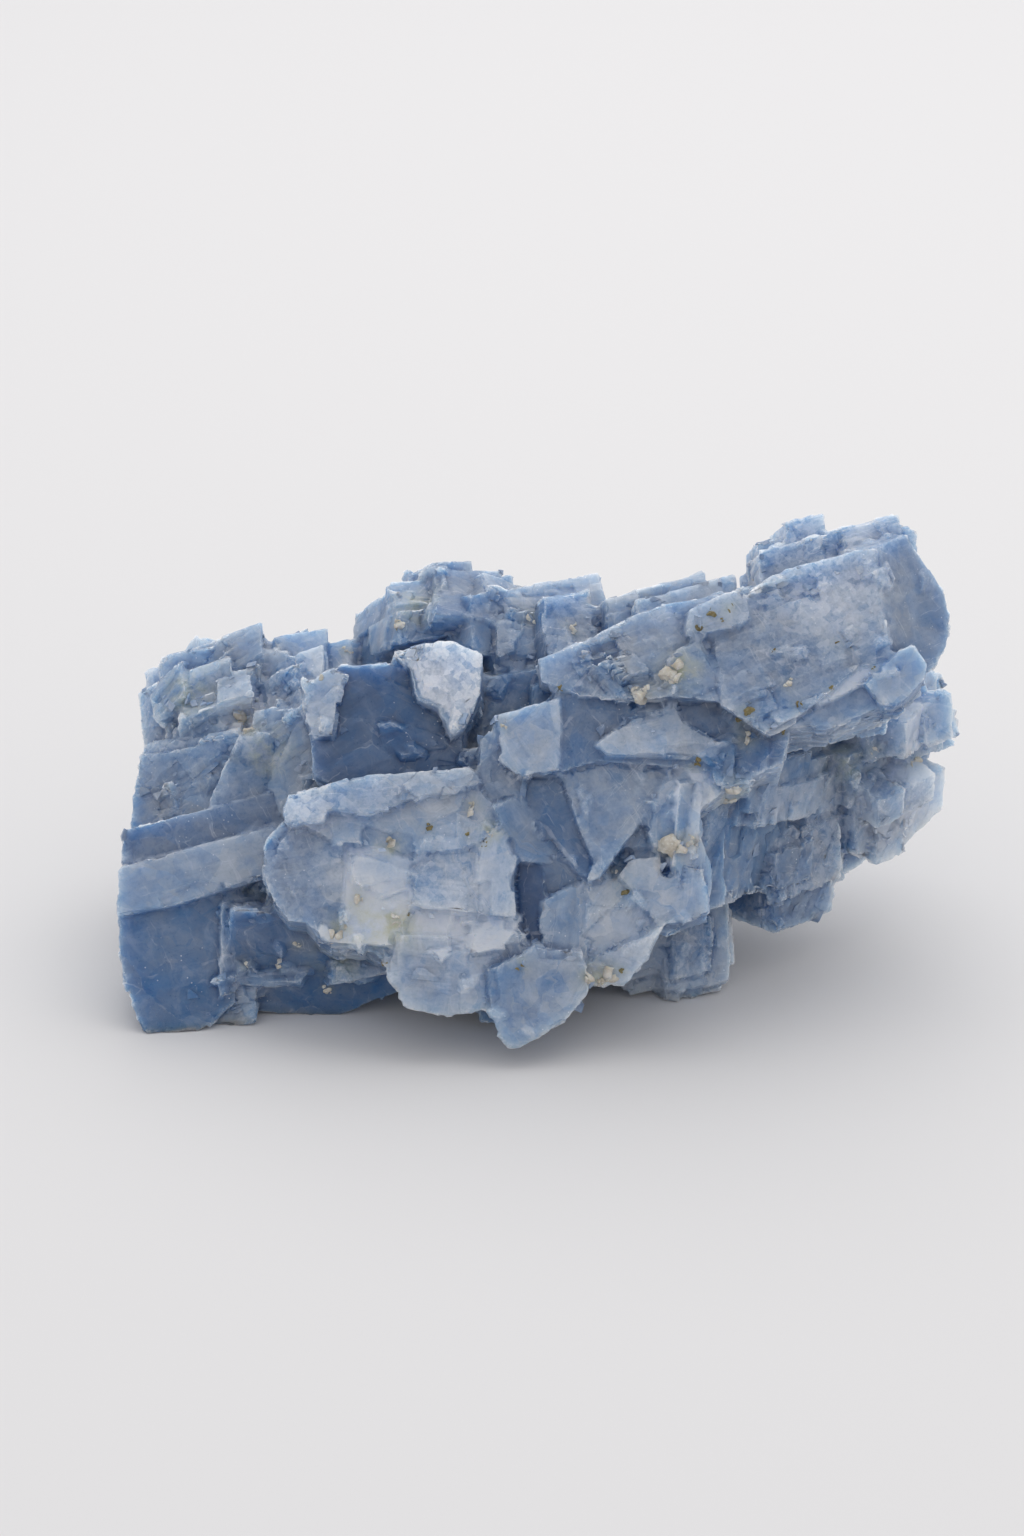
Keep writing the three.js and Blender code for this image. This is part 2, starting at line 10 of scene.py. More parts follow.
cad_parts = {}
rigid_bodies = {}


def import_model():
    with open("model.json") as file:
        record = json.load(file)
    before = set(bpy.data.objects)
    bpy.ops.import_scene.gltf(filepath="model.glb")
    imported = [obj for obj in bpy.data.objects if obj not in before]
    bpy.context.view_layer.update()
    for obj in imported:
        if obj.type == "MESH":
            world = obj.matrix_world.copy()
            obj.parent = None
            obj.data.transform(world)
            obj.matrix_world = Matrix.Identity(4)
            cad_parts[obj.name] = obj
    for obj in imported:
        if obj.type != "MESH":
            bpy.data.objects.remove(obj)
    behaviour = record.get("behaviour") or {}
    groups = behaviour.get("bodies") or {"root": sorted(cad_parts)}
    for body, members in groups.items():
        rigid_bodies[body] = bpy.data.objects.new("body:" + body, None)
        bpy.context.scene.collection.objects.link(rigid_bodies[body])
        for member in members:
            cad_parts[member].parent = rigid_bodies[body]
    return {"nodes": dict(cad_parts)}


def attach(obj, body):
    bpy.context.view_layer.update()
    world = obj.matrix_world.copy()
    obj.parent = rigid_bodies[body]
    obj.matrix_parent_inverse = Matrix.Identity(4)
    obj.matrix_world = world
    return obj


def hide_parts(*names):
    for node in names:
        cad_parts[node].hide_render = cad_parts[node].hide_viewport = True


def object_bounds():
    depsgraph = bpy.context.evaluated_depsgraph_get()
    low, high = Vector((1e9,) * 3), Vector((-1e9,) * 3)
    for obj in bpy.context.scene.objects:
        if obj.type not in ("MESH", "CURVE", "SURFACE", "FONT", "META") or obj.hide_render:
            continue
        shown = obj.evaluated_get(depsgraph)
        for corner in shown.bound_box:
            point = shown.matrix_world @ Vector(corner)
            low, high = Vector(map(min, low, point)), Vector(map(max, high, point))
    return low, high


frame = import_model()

cad_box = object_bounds()


# ------------------------------------------------------------------ the stone
# A hand specimen of raw blue calcite, grown from water in an open vein as many crystals
# locked together. Calcite splits along three sets of planes, so what shows are flat
# cleavage faces, the low steps between them, and edges that broke ragged.

MM = 0.001
RHOMB_ANGLE = math.radians(101.92)
FLAT_WITHIN = math.radians(1.0)
WELD_WITHIN = 0.002 * MM
LEAN = math.radians(25)
FRONT_FOOT = Vector((-0.779, -23.521, 2.1)) * MM
SHARP_BELOW = 0.85


def on_front(x, z, deep=0.0):
    """A place on the leaning front of the stone: mm to the right, up along the front, and in."""
    level = deep * math.cos(LEAN) + z * math.sin(LEAN)
    height = z * math.cos(LEAN) - deep * math.sin(LEAN)
    return FRONT_FOOT + Vector((x, level, height)) * MM


def along_front(x, deep, z):
    """A direction, to the right, in, and up along the front, as a unit vector."""
    return (on_front(x, z, deep) - FRONT_FOOT).normalized()


def edit(thing):
    """Selects one object alone and opens it in edit mode with nothing selected."""
    bpy.ops.object.select_all(action="DESELECT")
    thing.select_set(True)
    bpy.context.view_layer.objects.active = thing
    bpy.ops.object.mode_set(mode="EDIT")
    bpy.ops.mesh.select_all(action="DESELECT")


def close_edit():
    bpy.ops.object.mode_set(mode="OBJECT")


def on_all(thing, operator, **settings):
    """Runs one mesh operator on the whole mesh of an object."""
    edit(thing)
    bpy.ops.mesh.select_all(action="SELECT")
    operator(**settings)
    close_edit()


def split_off(at, facing):
    """Cuts the open mesh along a plane, drops what is past it and closes the cut with a face."""
    bpy.ops.mesh.select_all(action="SELECT")
    bpy.ops.mesh.bisect(plane_co=at, plane_no=facing, use_fill=True, clear_outer=True)


def flat_faces(stone):
    """A copy of the stone's mesh with one polygon for each flat face."""
    copy = bpy.data.objects.new("flat faces", stone.data.copy())
    bpy.context.scene.collection.objects.link(copy)
    on_all(copy, bpy.ops.mesh.dissolve_limited, angle_limit=FLAT_WITHIN)
    mesh = copy.data
    bpy.data.objects.remove(copy)
    mesh.calc_loop_triangles()
    return mesh


def finder(mesh):
    """Finds places on a mesh of flat faces, and the number of the face for each triangle."""
    mesh.calc_loop_triangles()
    corners = [v.co for v in mesh.vertices]
    tree = BVHTree.FromPolygons(corners, [t.vertices for t in mesh.loop_triangles])
    return tree, [t.polygon_index for t in mesh.loop_triangles]


bpy.ops.object.select_all(action="DESELECT")
node = frame["nodes"]["calcite"]
stone = bpy.data.objects.new("blue_calcite", node.data.copy())
bpy.context.scene.collection.objects.link(stone)
stone.data.attributes.new("tint", "FLOAT", "FACE")
on_all(stone, bpy.ops.mesh.remove_doubles, threshold=WELD_WITHIN)
grown_faces = flat_faces(stone)


# A leaf is a thin piece of the face left standing when the rest split away: a rhomb with two
# corners gone and a second, smaller layer on top.
LEAF_INSET = 0.13
LEAF_LAYER = (-0.06, -0.05, 0.35)


def model_leaf():
    bpy.ops.mesh.primitive_cube_add(size=1)
    leaf = bpy.context.object
    leaf.name = "leaf"
    edit(leaf)
    split_off((0.24, 0.24, 0), (1, 0.7, 0))
    split_off((-0.42, -0.3, 0), (-1, -0.4, 0))
    bpy.ops.mesh.select_all(action="DESELECT")
    close_edit()
    top = max(leaf.data.polygons, key=lambda face: face.normal.z * face.area)
    top.select = True
    bpy.ops.object.mode_set(mode="EDIT")
    bpy.ops.mesh.inset(thickness=LEAF_INSET)
    bpy.ops.mesh.extrude_region_move(TRANSFORM_OT_translate={"value": LEAF_LAYER})
    close_edit()
    return leaf


# A bite is the hole that a broken-off corner leaves: a rhomb with one corner cut away.
def model_bite():
    bpy.ops.mesh.primitive_cube_add(size=1)
    bite = bpy.context.object
    bite.name = "bite"
    edit(bite)
    split_off((0.3, 0.3, 0.2), (1, 0.8, 0.5))
    close_edit()
    return bite


def lattice(normal, along):
    """The three edge directions of a calcite rhomb that has one face square to normal."""
    first = (along - normal * along.dot(normal)).normalized()
    second = Matrix.Rotation(RHOMB_ANGLE, 3, normal) @ first
    cosine = math.cos(RHOMB_ANGLE)
    sideways = (first + second) * (cosine / (1 + cosine))
    third = normal * math.sqrt(1 - sideways.length_squared) - sideways
    return first, second, third


def place(tool, directions, size, at, tint, group):
    """Puts a copy of a tool, with its own mesh, at a spot of the stone."""
    columns = [direction * edge for direction, edge in zip(directions, size)]
    turn = Matrix(columns).transposed().to_4x4()
    if turn.determinant() < 0:
        turn = turn @ Matrix.Scale(-1, 4, (0, 0, 1))
    copy = bpy.data.objects.new(tool.name, tool.data.copy())
    copy.data.transform(Matrix.Translation(at) @ turn)
    marks = copy.data.attributes.new("tint", "FLOAT", "FACE")
    marks.data.foreach_set("value", [tint] * len(copy.data.polygons))
    group.objects.link(copy)


def settle(mesh):
    """Puts corners and faces in an order given by their places, for the same draws on each run."""
    places = [tuple(vertex.co) for vertex in mesh.vertices]
    order = sorted(range(len(places)), key=places.__getitem__)
    rank = {old: new for new, old in enumerate(order)}
    faces = []
    for face, mark in zip(mesh.polygons, mesh.attributes["tint"].data):
        ring = [rank[i] for i in face.vertices]
        start = ring.index(min(ring))
        faces.append((ring[start:] + ring[:start], mark.value))
    faces.sort()
    mesh.clear_geometry()
    mesh.from_pydata([places[i] for i in order], [], [ring for ring, _ in faces])
    marks = mesh.attributes.get("tint") or mesh.attributes.new("tint", "FLOAT", "FACE")
    marks.data.foreach_set("value", [tint for _, tint in faces])


def cut(stone, group, operation):
    """Joins every tool of a group to the stone, or cuts it out, and clears the group."""
    modifier = stone.modifiers.new("cut", "BOOLEAN")
    modifier.operation = operation
    modifier.operand_type = "COLLECTION"
    modifier.collection = group
    modifier.solver = "MANIFOLD"
    bpy.context.view_layer.objects.active = stone
    bpy.ops.object.modifier_apply(modifier="cut")
    for tool in list(group.objects):
        bpy.data.meshes.remove(tool.data)
    settle(stone.data)


tools = bpy.data.collections.new("tools")
bpy.context.scene.collection.children.link(tools)
leaf = model_leaf()
bite = model_bite()


def longest_edge(mesh, face):
    corners = [mesh.vertices[i].co for i in face.vertices]
    edges = [b - a for a, b in zip(corners, corners[1:] + corners[:1])]
    return max(edges, key=lambda edge: edge.length)


# How a leaf is set: its length and breadth as shares of the drawn width, how far above the
# face each corner is felt for and how deep (mm), and how it shrinks where it finds no room.
LEAF_LENGTH = (0.7, 1.6)
LEAF_BREADTH = (0.5, 1.1)
FELT_FROM = 0.3
FELT_DEPTH = 0.4
LEAF_TRIES = 4
LEAF_SHRINKS = 0.65


def whole_width_rests(tree, at, directions, size, normal):
    """True if all four corners of a leaf lie on the face under it."""
    for s, t in ((1, 1), (1, -1), (-1, 1), (-1, -1)):
        corner = at + directions[0] * (s * size[0] / 2) + directions[1] * (t * size[1] / 2)
        hit = tree.ray_cast(corner + normal * FELT_FROM * MM, -normal, FELT_DEPTH * MM)
        if hit[0] is None:
            return False
    return True


def grow_leaves(stone, count, width, thickness, seed):
    """Adds leaves on the faces, more of them on the larger ones, where a whole leaf finds room."""
    draw = random.Random(seed)
    mesh = flat_faces(stone)
    tree, _ = finder(mesh)
    triangles = list(mesh.loop_triangles)
    for triangle in draw.choices(triangles, weights=[t.area for t in triangles], k=count):
        face = mesh.polygons[triangle.polygon_index]
        a, b, c = (mesh.vertices[i].co for i in triangle.vertices)
        s, t = sorted((draw.random(), draw.random()))
        at = a * s + b * (t - s) + c * (1 - t)
        normal = face.normal.copy()
        directions = lattice(normal, longest_edge(mesh, face))
        across = draw.uniform(*width) * MM
        length = across * draw.uniform(*LEAF_LENGTH)
        breadth = across * draw.uniform(*LEAF_BREADTH)
        size = [length, breadth, 2 * draw.uniform(*thickness) * MM]
        for _ in range(LEAF_TRIES):
            if whole_width_rests(tree, at, directions, size, normal):
                place(leaf, directions, size, at, draw.random(), tools)
                break
            size[0] *= LEAF_SHRINKS
            size[1] *= LEAF_SHRINKS
    cut(stone, tools, "UNION")


def edges_of(mesh):
    """The sharp edges as (end, end, face, face, True where the stone stands out there)."""
    faces_of = {}
    for face in mesh.polygons:
        for key in face.edge_keys:
            faces_of.setdefault(key, []).append(face)
    for key, faces in faces_of.items():
        if len(faces) == 2 and faces[0].normal.dot(faces[1].normal) < SHARP_BELOW:
            a, b = (mesh.vertices[i].co for i in key)
            across = (b - a).cross(faces[0].normal)
            inner = across if across.dot(faces[0].center - a) > 0 else -across
            yield a, b, faces[0], faces[1], inner.dot(faces[1].normal) < 0


def work_edges(stone, count, tool, shape, outward, operation, seed):
    """Sets tools along the sharp edges, more of them on the longer ones."""
    draw = random.Random(seed)
    mesh = flat_faces(stone)
    edges = [edge for edge in edges_of(mesh) if edge[4] == outward]
    lengths = [(b - a).length for a, b, *_ in edges]
    for a, b, one, other, _ in draw.choices(edges, weights=lengths, k=count):
        face = draw.choice((one, other))
        size = [draw.uniform(*span) * MM for span in shape]
        directions = lattice(face.normal.copy(), b - a)
        place(tool, directions, size, a.lerp(b, draw.random()), draw.random(), tools)
    cut(stone, tools, operation)


# What is broken off and left standing: the least and most of each rhomb's three edge lengths,
# and of each leaf's width and thickness, in mm.
LARGE_BITE = ((2, 7), (1.2, 3.5), (0.2, 0.6))
SMALL_BITE = ((0.5, 2.4), (0.4, 1.2), (0.15, 0.5))
CORNER_LEAF = ((1.0, 3.0), (0.8, 2.0), (0.4, 1.0))
LEAF_WIDTH = (1.2, 4.0)
LEAF_THICKNESS = (0.1, 0.3)

# Rhombs wedged between the front plates: where (mm right, mm up along the front, mm in) and
# their edge lengths.
WEDGE_TINT = 0.4
WEDGES = (
    (12.4, 26.9, 2.2, (2.6, 2.4, 3.0)),
    (16.6, 39.7, 2.2, (3.2, 3.0, 3.0)),
    (12.8, 18.4, 2.0, (2.2, 3.4, 3.0)),
    (9.9, 20.2, 1.9, (3.0, 3.6, 3.0)),
    (-6.6, 28.0, 4.5, (2.0, 2.6, 3.0)),
)
wedge_directions = lattice(along_front(0.05, -1, 0.12), along_front(0.4, 0, 1))
for x, z, deep, size in WEDGES:
    edges = [edge * MM for edge in size]
    place(bite, wedge_directions, edges, on_front(x, z, deep), WEDGE_TINT, tools)
cut(stone, tools, "UNION")
work_edges(stone, 420, bite, LARGE_BITE, outward=True, operation="DIFFERENCE", seed=5)
grow_leaves(stone, 160, LEAF_WIDTH, LEAF_THICKNESS, seed=3)
work_edges(stone, 350, leaf, CORNER_LEAF, outward=False, operation="UNION", seed=8)
work_edges(stone, 1700, bite, SMALL_BITE, outward=True, operation="DIFFERENCE", seed=7)
for tool in (leaf, bite):
    bpy.data.objects.remove(tool)
bpy.data.collections.remove(tools)


# The broken skin. The blocks are turned into an even fine mesh. Narrow gaps between them are
# grown shut, as in the real stone: the mesh swells until they close, and shrinks back. Every
# face is then split into low terraces that follow the crystal's own directions.
VOXEL = 0.22 * MM
GROWN_SHUT = 0.3 * MM
STRAIGHT_WITHIN = 0.2 * MM
MOST_TRIANGLES = 196000


def places_of(mesh, kind="co"):
    flat = np.empty(len(mesh.vertices) * 3, dtype=np.float32)
    mesh.vertices.foreach_get(kind, flat)
    return flat.reshape(-1, 3).astype(float)


def normals_of(mesh):
    return places_of(mesh, "normal")


def move_to(mesh, points):
    mesh.vertices.foreach_set("co", points.astype(np.float32).ravel())
    mesh.update()


def remesh(thing, voxel):
    modifier = thing.modifiers.new("fine mesh", "REMESH")
    modifier.mode = "VOXEL"
    modifier.voxel_size = voxel
    bpy.context.view_layer.objects.active = thing
    bpy.ops.object.modifier_apply(modifier="fine mesh")


broken_faces = stone.data.copy()
remesh(stone, VOXEL)
move_to(stone.data, places_of(stone.data) + normals_of(stone.data) * GROWN_SHUT)
remesh(stone, VOXEL)
move_to(stone.data, places_of(stone.data) - normals_of(stone.data) * GROWN_SHUT)


STIRRER = np.uint64(0x9E3779B97F4A7C15)


def shuffled(cells, seed):
    """A number from 0 to 1 for each whole-number cell, always the same for the same cell."""
    mixed = np.full(len(cells), seed * 7919 + 1, dtype=np.uint64)
    for column in np.asarray(cells).astype(np.int64).T:
        mixed = (mixed ^ column.view(np.uint64)) * STIRRER
        mixed ^= mixed >> np.uint64(31)
    return (mixed >> np.uint64(11)).astype(float) / 2.0**53


def cloud(points, size, seed):
    """Smooth noise from 0 to 1 whose lumps are about size across."""
    scaled = points / size
    corner = np.floor(scaled)
    share = scaled - corner
    share = share * share * (3 - 2 * share)
    total = np.zeros(len(points))
    for step in np.ndindex(2, 2, 2):
        weight = np.prod(np.where(step, share, 1 - share), axis=1)
        total += weight * shuffled(corner + step, seed)
    return total


# The crystals that the stone is made of: where each is, which way it runs and which way it
# faces, each to the right, in, and up along the front.
CRYSTALS = {
    "foot": ((-35, 8, 6), (1, 0.1, 0.25), (0, -1, 0.2)),
    "bands": ((-32, 8, 19), (1, 0.1, 0.25), (0, -1, 0.3)),
    "left top": ((-31, 18, 33), (0.9, 0.3, 0.35), (-0.3, -0.8, 0.6)),
    "shelf": ((-21, 9, 6), (1, 0, 0.1), (0, -1, -0.3)),
    "dark face": ((-15, 6, 31), (0.8, 0.1, 0.5), (0, -1, 0.1)),
    "frosted": ((-10, 4, 37), (0.3, 0, 1), (-0.1, -1, 0.3)),
    "front": ((-19, 1, 17), (1, 0, 0.12), (0, -1, 0.1)),
    "bright": ((-8, 0, 12), (1, 0, -0.12), (0, -1, 0.25)),
    "lens": ((-1.5, 2, 14), (0.15, 0, 1), (-0.2, -1, 0)),
    "prisms": ((4, 1, 23), (0.6, 0, -0.8), (0, -1, 0.1)),
    "cheek": ((8, 1, 11), (0.5, 0, 0.86), (0, -1, 0)),
    "column": ((15.5, 2, 18), (0.1, 0, 1), (0.5, -1, 0)),
    "beam": ((20, 4, 38), (0.945, 0.06, 0.325), (0, -1, 0.26)),
    "beam end": ((38, 8, 44), (0.8, 0.6, 0.25), (0.7, -0.7, 0)),
    "recess": ((22, 14, 23), (0.15, 0, 1), (0, -1, -0.1)),
    "right": ((34, 20, 18), (0.3, 0.3, 0.9), (0.5, -0.8, 0)),
    "ridge": ((10, 20, 42), (0.95, 0.1, 0.3), (0, -0.3, 1)),
    "back left": ((-25, 32, 20), (0.9, -0.2, 0.3), (-0.3, 1, 0)),
    "back": ((0, 34, 22), (0.7, 0.1, 0.7), (0, 1, 0.2)),
    "back right": ((26, 32, 28), (0.9, 0.1, 0.3), (0.3, 1, 0)),
}

middles = np.array([on_front(at[0], at[2], at[1]) for at, _, _ in CRYSTALS.values()])
lattices = [
    lattice(along_front(*facing), along_front(*along)) for _, along, facing in CRYSTALS.values()
]
BORDER_WANDERS = 6


def crystal_of(points):
    """The number of the crystal that each point belongs to; borders wander by a few mm."""
    waves = [cloud(points, BORDER_WANDERS * MM, seed) for seed in (21, 22, 23)]
    moved = points + (np.stack(waves, axis=1) - 0.5) * BORDER_WANDERS * MM
    return np.argmin(((moved[:, None, :] - middles[None]) ** 2).sum(axis=2), axis=1)


def facets_under(points, mesh):
    """The face of a mesh nearest to each point: its number, its normal and the nearest place."""
    tree, faces = finder(mesh)
    found = [tree.find_nearest(Vector(point)) for point in points]
    numbers = np.array([faces[hit[2]] for hit in found])
    normals = np.array([tuple(face.normal) for face in mesh.polygons])
    return numbers, normals[numbers], np.array([tuple(hit[0]) for hit in found])


END_ON_ABOVE = 0.85


def in_face(points, normals, crystals):
    """Each point's two coordinates along the crystal's edges within the face it lies on."""
    first = np.array([tuple(l[0]) for l in lattices])[crystals]
    spare = np.array([tuple(l[2]) for l in lattices])[crystals]
    end_on = np.abs((first * normals).sum(axis=1)) > END_ON_ABOVE
    first[end_on] = spare[end_on]
    first -= normals * (first * normals).sum(axis=1, keepdims=True)
    first /= np.linalg.norm(first, axis=1, keepdims=True)
    square = np.cross(normals, first)
    t = (points * square).sum(axis=1) / math.sin(RHOMB_ANGLE)
    s = (points * first).sum(axis=1) - t * math.cos(RHOMB_ANGLE)
    return s, t


# A terrace's cell: its length and height as shares of its width, how far its border wanders
# and over what distance, how many pits there are to a leaf, and in how many steps they come.
CELL_LENGTH = 1.5
CELL_HEIGHT = 0.62
BORDER_RAGGED = 0.09
BORDER_WAVE = 0.35
PITS_TO_LEAVES = 0.8
LEVELS = 3


def terraces(points, normals, crystals, width, share, seed):
    """From -1 in a pit to 1 on a raised leaf; where share is small, most cells stay at 0."""
    ragged = width * BORDER_RAGGED
    s, t = in_face(points, normals, crystals)
    s = s + (cloud(points, width * BORDER_WAVE, seed + 50) - 0.5) * ragged * 2
    t = t + (cloud(points, width * BORDER_WAVE, seed + 51) - 0.5) * ragged * 2
    facing = np.round(normals * 3)
    row = np.floor(t / (width * CELL_HEIGHT))
    shift = shuffled(np.column_stack([row, crystals]), seed + 3)
    cells = np.column_stack([np.floor(s / (width * CELL_LENGTH) + shift), row, facing, crystals])
    level = shuffled(cells, seed)
    pits = share * PITS_TO_LEAVES
    raised = np.clip((level - (1 - share)) / share, 0, 1)
    sunk = np.clip((pits - level) / pits, 0, 1)
    return np.ceil(raised * LEVELS) / LEVELS - np.ceil(sunk * LEVELS) / LEVELS


# The terraces come in three sizes (mm), each on the same share of the faces.
TERRACE_WIDTHS = (4.0, 1.7, 0.9)
TERRACE_SHARE = 0.30


def terraced(points, normals, crystals, amounts):
    """The terraces of each size times the amount given for it, added up."""
    total = np.zeros(len(points))
    for number, (width, amount) in enumerate(zip(TERRACE_WIDTHS, amounts), 1):
        level = terraces(points, normals, crystals, width * MM, TERRACE_SHARE, number)
        total += level * amount
    return total


points = places_of(stone.data)
crystals = crystal_of(points)
numbers, normals, nearest = facets_under(points, broken_faces)
on_face = np.linalg.norm(nearest - points, axis=1) < STRAIGHT_WITHIN
points[on_face] = nearest[on_face]

# The faces that stand out on the front: where each is (mm right, mm up along the front), how
# pale it is from about 0 to 1, how frosted, and how rough its terraces are.
FRONT_FACES = {
    "foot": (-36, 8, 0.2, 0.0, 0.3),
    "foot edge": (-29, 11, 0.12, 0.0, 0.3),
    "lower band": (-34, 16.5, 0.55, 0.05, 0.25),
    "upper band": (-33, 21.5, 0.08, 0.05, 0.25),
    "shelf": (-21, 6, 0.2, 0.1, 1.0),
    "tip": (0, 4, 0.5, 0.08, 0.4),
    "skirt": (-11, 6, 0.66, 0.15, 0.5),
    "right skirt": (-6.4, 7, 0.66, 0.1, 0.5),
    # Painted reflection: this face's full paleness and its frost stand for the sheen of the light
    # on it.
    "painted sheen of the bright lower face": (-8, 11.5, 1, 0.35, 0.5),
    "bright upper": (-9, 16.5, 0.55, 0.25, 0.9),
    "bright right": (-4.3, 16, 0.74, 0.2, 0.4),
    "left plate": (-24, 17, 0.36, 0.15, 1.2),
    "pale step": (-19, 14, 1, 0.25, 1.0),
    "upper pale step": (-15.5, 17.5, 0.88, 0.1, 0.5),
    "bar": (-20, 24, 0.58, 0.3, 1.2),
    "under the bar": (-14, 22, 0.6, 0.1, 1.0),
    "dark face": (-14, 31, 0.04, 0.0, 0.3),
    "dark face rim": (-22, 34, 0.64, 0.2, 0.8),
    "frosted": (-9, 37, 0.8, 0.95, 2.4),
    "pale rhomb": (-1, 30, 0.6, 0.1, 0.3),
    "beside the hole": (-4, 27, 0.36, 0.1, 0.6),
    "low prism": (-2, 21, 0.38, 0.0, 0.2),
    "middle prism": (1, 22.5, 0.1, 0.0, 0.2),
    "broad prism": (7, 24.5, 0.45, 0.1, 0.4),
    "under the prisms": (2.5, 16.5, 0.15, 0.0, 0.4),
    "lens": (-1.5, 14, -0.2, 0, 0),
    "striped rhomb": (2.6, 12, 0.56, 0.0, 0.2),
    "pebble": (7, 15.2, 0.54, 0.05, 0.2),
    "cheek": (8, 11.5, 0.7, 0.05, 0.4),
    "cheek lip": (7, 7.5, 0.72, 0.2, 0.8),
    "scale": (12, 16, 0.6, 0.1, 0.5),
    "column": (15, 18, 0.62, 0.0, 0.2),
    "brow": (12.2, 23, 0.6, 0.1, 0.3),
    "brow strip": (13.5, 23, 1, 0.25, 0.2),
    "brow right": (15.3, 22.5, 0.88, 0.15, 0.2),
    # Painted shade: this face's dark tone stands for the shade under the brow.
    "painted shade under the brow": (9, 19.5, 0.15, 0.0, 0.4),
    "notch": (16, 26.5, 0.9, 0.2, 0.5),
    "notch foot": (16.7, 25, 0.85, 0.15, 0.5),
    "apron": (5, 32, 0.12, 0.05, 0.6),
    "pale apron": (11, 31, 0.66, 0.15, 0.6),
    "beam": (28, 43, 0.38, 0.15, 3),
    "beam plank": (8, 38, 0.44, 0.1, 2.2),
    "beam end": (37, 44, 0.24, 0.0, 0.3),
    "beam lip": (29, 33.5, 0.5, 0.1, 0.6),
    "beam sliver": (31, 36.3, 1, 0.1, 0.4),
    "beam rhomb": (35, 36, 0.64, 0.05, 0.3),
}
EYE_DISTANCE = 420.0
EYE = on_front(-2.8, 27.35, -EYE_DISTANCE)
NARROW = 8 * MM * MM
ALIKE_ABOVE = 0.8
INSIDE_BY = 0.04 * MM

# All other faces: their middle tone and how far it varies, how much painted light from above
# makes a face paler that looks up, how frosted a face may be, and how rough its terraces are.
MIDDLE_TONE = 0.40
TONE_VARIES = 0.40
PAINTED_TOP_LIGHT = 0.08
MOST_FROST = 0.25
USUAL_RELIEF = 1.2


def seen_at(tree, x, z):
    """What the eye sees in line with a place of the front: (place, normal, triangle)."""
    return tree.ray_cast(EYE, (on_front(x, z) - EYE).normalized())[:3]


grown_tree, grown_triangles = finder(grown_faces)
grown_numbers, _, _ = facets_under(points, grown_faces)
face_normals = np.array([tuple(face.normal) for face in grown_faces.polygons])
face_numbers = np.arange(len(face_normals))[:, None]
tones = MIDDLE_TONE + TONE_VARIES * (shuffled(face_numbers, 40) - 0.5)
# Painted light: faces that look up are made paler, as if lit from above.
tones += PAINTED_TOP_LIGHT * face_normals[:, 2]
frosts_and_sheen = MOST_FROST * shuffled(face_numbers, 41) ** 2
reliefs = np.full(len(face_normals), USUAL_RELIEF)
named = set()
for name, (x, z, tone, frost_and_sheen, relief) in FRONT_FACES.items():
    face = grown_triangles[seen_at(grown_tree, x, z)[2]]
    tones[face], frosts_and_sheen[face], reliefs[face] = tone, frost_and_sheen, relief
    named.add(face)

# The narrow sides of a plate are as pale as the faces that they join.
beside = {}
for face in grown_faces.polygons:
    for key in face.edge_keys:
        beside.setdefault(key, []).append(face.index)
narrow = [f.index for f in grown_faces.polygons if f.area < NARROW and f.index not in named]
neighbours = {number: [] for number in narrow}
for pair in beside.values():
    for number in pair:
        if number in neighbours:
            neighbours[number] += [other for other in pair if other != number]
for _ in range(3):
    for number in narrow:
        if neighbours[number]:
            tones[number] = np.mean(tones[neighbours[number]])


def edge_ends(mesh):
    """The numbers of the two corner points of every edge."""
    ends = np.empty(len(mesh.edges) * 2, dtype=np.int32)
    mesh.edges.foreach_get("vertices", ends)
    return ends.reshape(-1, 2).T


def sharpness(mesh, rounds):
    """Above 0 along edges that stand out and below 0 in grooves, in about one triangle's width."""
    points = places_of(mesh)
    normals = normals_of(mesh)
    a, b = edge_ends(mesh)
    reach = points[b] - points[a]
    length = np.maximum(np.linalg.norm(reach, axis=1), 0.001 * MM)
    total = np.zeros(len(points))
    count = np.bincount(np.concatenate([a, b]), minlength=len(points))
    np.add.at(total, a, -(reach * normals[a]).sum(axis=1) / length)
    np.add.at(total, b, (reach * normals[b]).sum(axis=1) / length)
    total /= np.maximum(count, 1)
    for _ in range(rounds):
        spread = np.zeros(len(points))
        np.add.at(spread, a, total[b])
        np.add.at(spread, b, total[a])
        total = 0.5 * total + 0.5 * spread / np.maximum(count, 1)
    return total


def cracks(mesh):
    """1 along the line where two plates that face the same way meet, and 0 elsewhere."""
    plate_of = np.arange(len(face_normals))
    area = np.array([face.area for face in grown_faces.polygons])
    for number in narrow:
        if neighbours[number]:
            plate_of[number] = max(neighbours[number], key=lambda other: area[other])
    owner = plate_of[plate_of[grown_numbers]]
    a, b = edge_ends(mesh)
    alike = (face_normals[owner[a]] * face_normals[owner[b]]).sum(axis=1) > ALIKE_ABOVE
    met = (owner[a] != owner[b]) & alike
    found = np.zeros(len(mesh.vertices))
    found[a[met]] = 1
    found[b[met]] = 1
    return found


SMOOTH_RELIEF = 0.15


def rough_patches(points, relief):
    """A face's relief in patches: nearly all of it where it broke rough, little elsewhere."""
    patch = cloud(points, 7 * MM, 31) * 0.6 + cloud(points, 3 * MM, 32) * 0.4
    patch = np.clip((patch - 0.42) * 5, 0, 1)
    return relief * (SMOOTH_RELIEF + (1 - SMOOTH_RELIEF) * patch)


# Heights in mm: the terraces from broad to fine, the grit on them, the cracks between plates,
# and the steps and grit of the ragged edges.
TERRACE_HEIGHTS = (0.20, 0.12, 0.07)
GRIT_HEIGHT = 0.06
CRACK_DEPTH = 0.25
CRACK_CLOSED = 0.02
EDGE_STEPS = 0.22
EDGE_GRIT = 0.25

